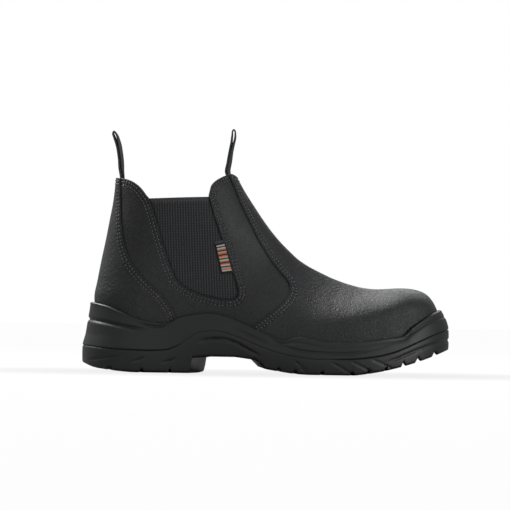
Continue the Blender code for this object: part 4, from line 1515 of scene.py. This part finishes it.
def buildTab():
    (ax, az), (bx, bz), (cx, cz), (dx, dz) = tabLook["corners"]
    rows, cols = tabLook["along"] + 1, tabLook["across"] + 1
    t, w = np.meshgrid(np.linspace(0, 1, rows), np.linspace(0, 1, cols), indexing="ij")
    x = (1 - t) * ((1 - w) * ax + w * bx) + t * ((1 - w) * dx + w * cx)
    z = (1 - t) * ((1 - w) * az + w * bz) + t * ((1 - w) * dz + w * cz)
    base = lastPoint(x, z, lateral)
    normal = lastNormal(x, z, lateral)
    rounding = np.minimum.reduce([w * 8, t * 20, (1 - t) * 20, np.ones_like(w)])
    level = tabLook["level"] - tabLook["edgeDrop"] * (1 - np.sqrt(np.clip(rounding, 0, 1)))
    top = (base + normal * level[..., None]).reshape(-1, 3)
    low = (base + normal * (tabLook["level"] - tabLook["thick"] - 0.2)).reshape(-1, 3)
    index = np.arange(rows * cols).reshape(rows, cols)
    quads = np.stack([index[:-1, :-1], index[:-1, 1:], index[1:, 1:], index[1:, :-1]], axis=-1).reshape(-1, 4)
    border = list(index[0]) + list(index[1:, -1]) + list(index[-1, -2::-1]) + list(index[-2:0:-1, 0])
    half = rows * cols
    faces = [tuple(int(k) for k in face) for face in quads]
    faces += [tuple(k + half for k in face[::-1]) for face in faces]
    for here, ahead in zip(border, border[1:] + border[:1]):
        faces.append((int(ahead), int(here), int(here) + half, int(ahead) + half))
    extras = {"across": np.tile(w.ravel(), 2), "along": np.tile(t.ravel(), 2)}
    turnOutward(makePiece("sideTab", np.vstack([top, low]), faces, tabFinish(), extras))


buildTab()
print("side tab made")


# Stage, light and camera
studio = {
    "fill": 0.30, "floor": "707070", "even": 0.9, "half": 6.0,
    "glow": {"near": 0.14, "far": 0.40, "under": 0.93, "away": 1.08},
}
lamps = {
    # name: place, aim, size, watts
    "overhead": ((-0.62, 0.50, 1.10), (0.05, 0.0, 0.05), (0.75, 0.85), 30.0),
    "front": ((-0.5, -1.9, 0.8), (0.0, 0.0, 0.08), (1.4, 1.0), 2.5),
    "rear": ((0.1, 1.6, 0.95), (0.05, 0.0, 0.08), (1.2, 1.0), 9.0),
    "toeSide": ((1.4, -1.1, 0.45), (0.1, 0.0, 0.05), (0.8, 0.6), 14.0),
}


def stageLight(name, place, aim, size, power):
    light = bpy.data.lights.new(name, "AREA")
    light.shape = "RECTANGLE"
    light.size, light.size_y = size
    light.energy = power
    made = newObject(name, light)
    made.location = place
    made.rotation_euler = (Vector(aim) - Vector(place)).to_track_quat("-Z", "Y").to_euler()


def cameraRay(tree):
    return addNode(tree, "ShaderNodeLightPath").outputs["Is Camera Ray"]


def buildFloor():
    half = studio["half"]
    mesh = bpy.data.meshes.new("studioFloor")
    corners = [(-half, -half, 0), (half, -half, 0), (half, half, 0), (-half, half, 0)]
    mesh.from_pydata(corners, [], [(0, 1, 2, 3)])
    finish, tree, shader = newMaterial("matPaintedFloor", Roughness=0.9)
    shader.inputs["Base Color"].default_value = linear(studio["floor"])
    # to the camera it glows so nearly white that it meets the background without a line; the glow is fainter
    # near the boot, painted shade round it, where a faint real shadow shows
    reach = addNode(tree, "ShaderNodeVectorMath", {0: objectPlace(tree)}, operation="LENGTH").outputs["Value"]
    look = studio["glow"]
    strength = rescale(tree, reach, look["near"], look["far"], look["under"], look["away"], "SMOOTHSTEP")
    glow = addNode(tree, "ShaderNodeEmission", {"Color": grey(1.0), "Strength": strength})
    share = calculate(tree, "MULTIPLY", cameraRay(tree), studio["even"])
    seen = addNode(tree, "ShaderNodeMixShader", {0: share, 1: shader.outputs[0], 2: glow.outputs[0]})
    tree.links.new(seen.outputs[0], tree.nodes["Material Output"].inputs["Surface"])
    mesh.materials.append(finish)
    newObject("studioFloor", mesh)


def buildWorld():
    world = bpy.data.worlds.new("studio")
    bpy.context.scene.world = world
    world.use_nodes = True
    tree = world.node_tree
    tree.nodes.clear()
    seen = addNode(tree, "ShaderNodeBackground", {"Color": grey(1.0), "Strength": 1.0})
    fill = addNode(tree, "ShaderNodeBackground", {"Color": grey(1.0), "Strength": studio["fill"]})
    mix = addNode(tree, "ShaderNodeMixShader", {0: cameraRay(tree), 1: fill.outputs[0], 2: seen.outputs[0]})
    addNode(tree, "ShaderNodeOutputWorld", {"Surface": mix.outputs[0]})


buildFloor()
buildWorld()
for lampName, settings in lamps.items():
    stageLight(lampName, *settings)

view = {"aimX": -9.75, "aimZ": 98.9, "away": 9000.0, "widthMm": 425.6, "rollDegrees": 0.84, "sensor": 36.0}
cameraData = bpy.data.cameras.new("camera")
cameraData.sensor_width = view["sensor"]
cameraData.lens = view["sensor"] * view["away"] / view["widthMm"]
cameraData.clip_start, cameraData.clip_end = 0.05, 50.0
camera = newObject("camera", cameraData)
camera.location = ((view["aimX"] + centre[0]) * mm, -view["away"] * mm, view["aimZ"] * mm)
upright = Matrix.Rotation(math.radians(90), 3, "X")
roll = Matrix.Rotation(math.radians(view["rollDegrees"]), 3, "Z")
camera.rotation_euler = (upright @ roll).to_euler()
bpy.context.scene.camera = camera
bpy.context.scene.view_settings.view_transform = "Standard"
bpy.context.scene.view_settings.look = "None"

print("stage made")
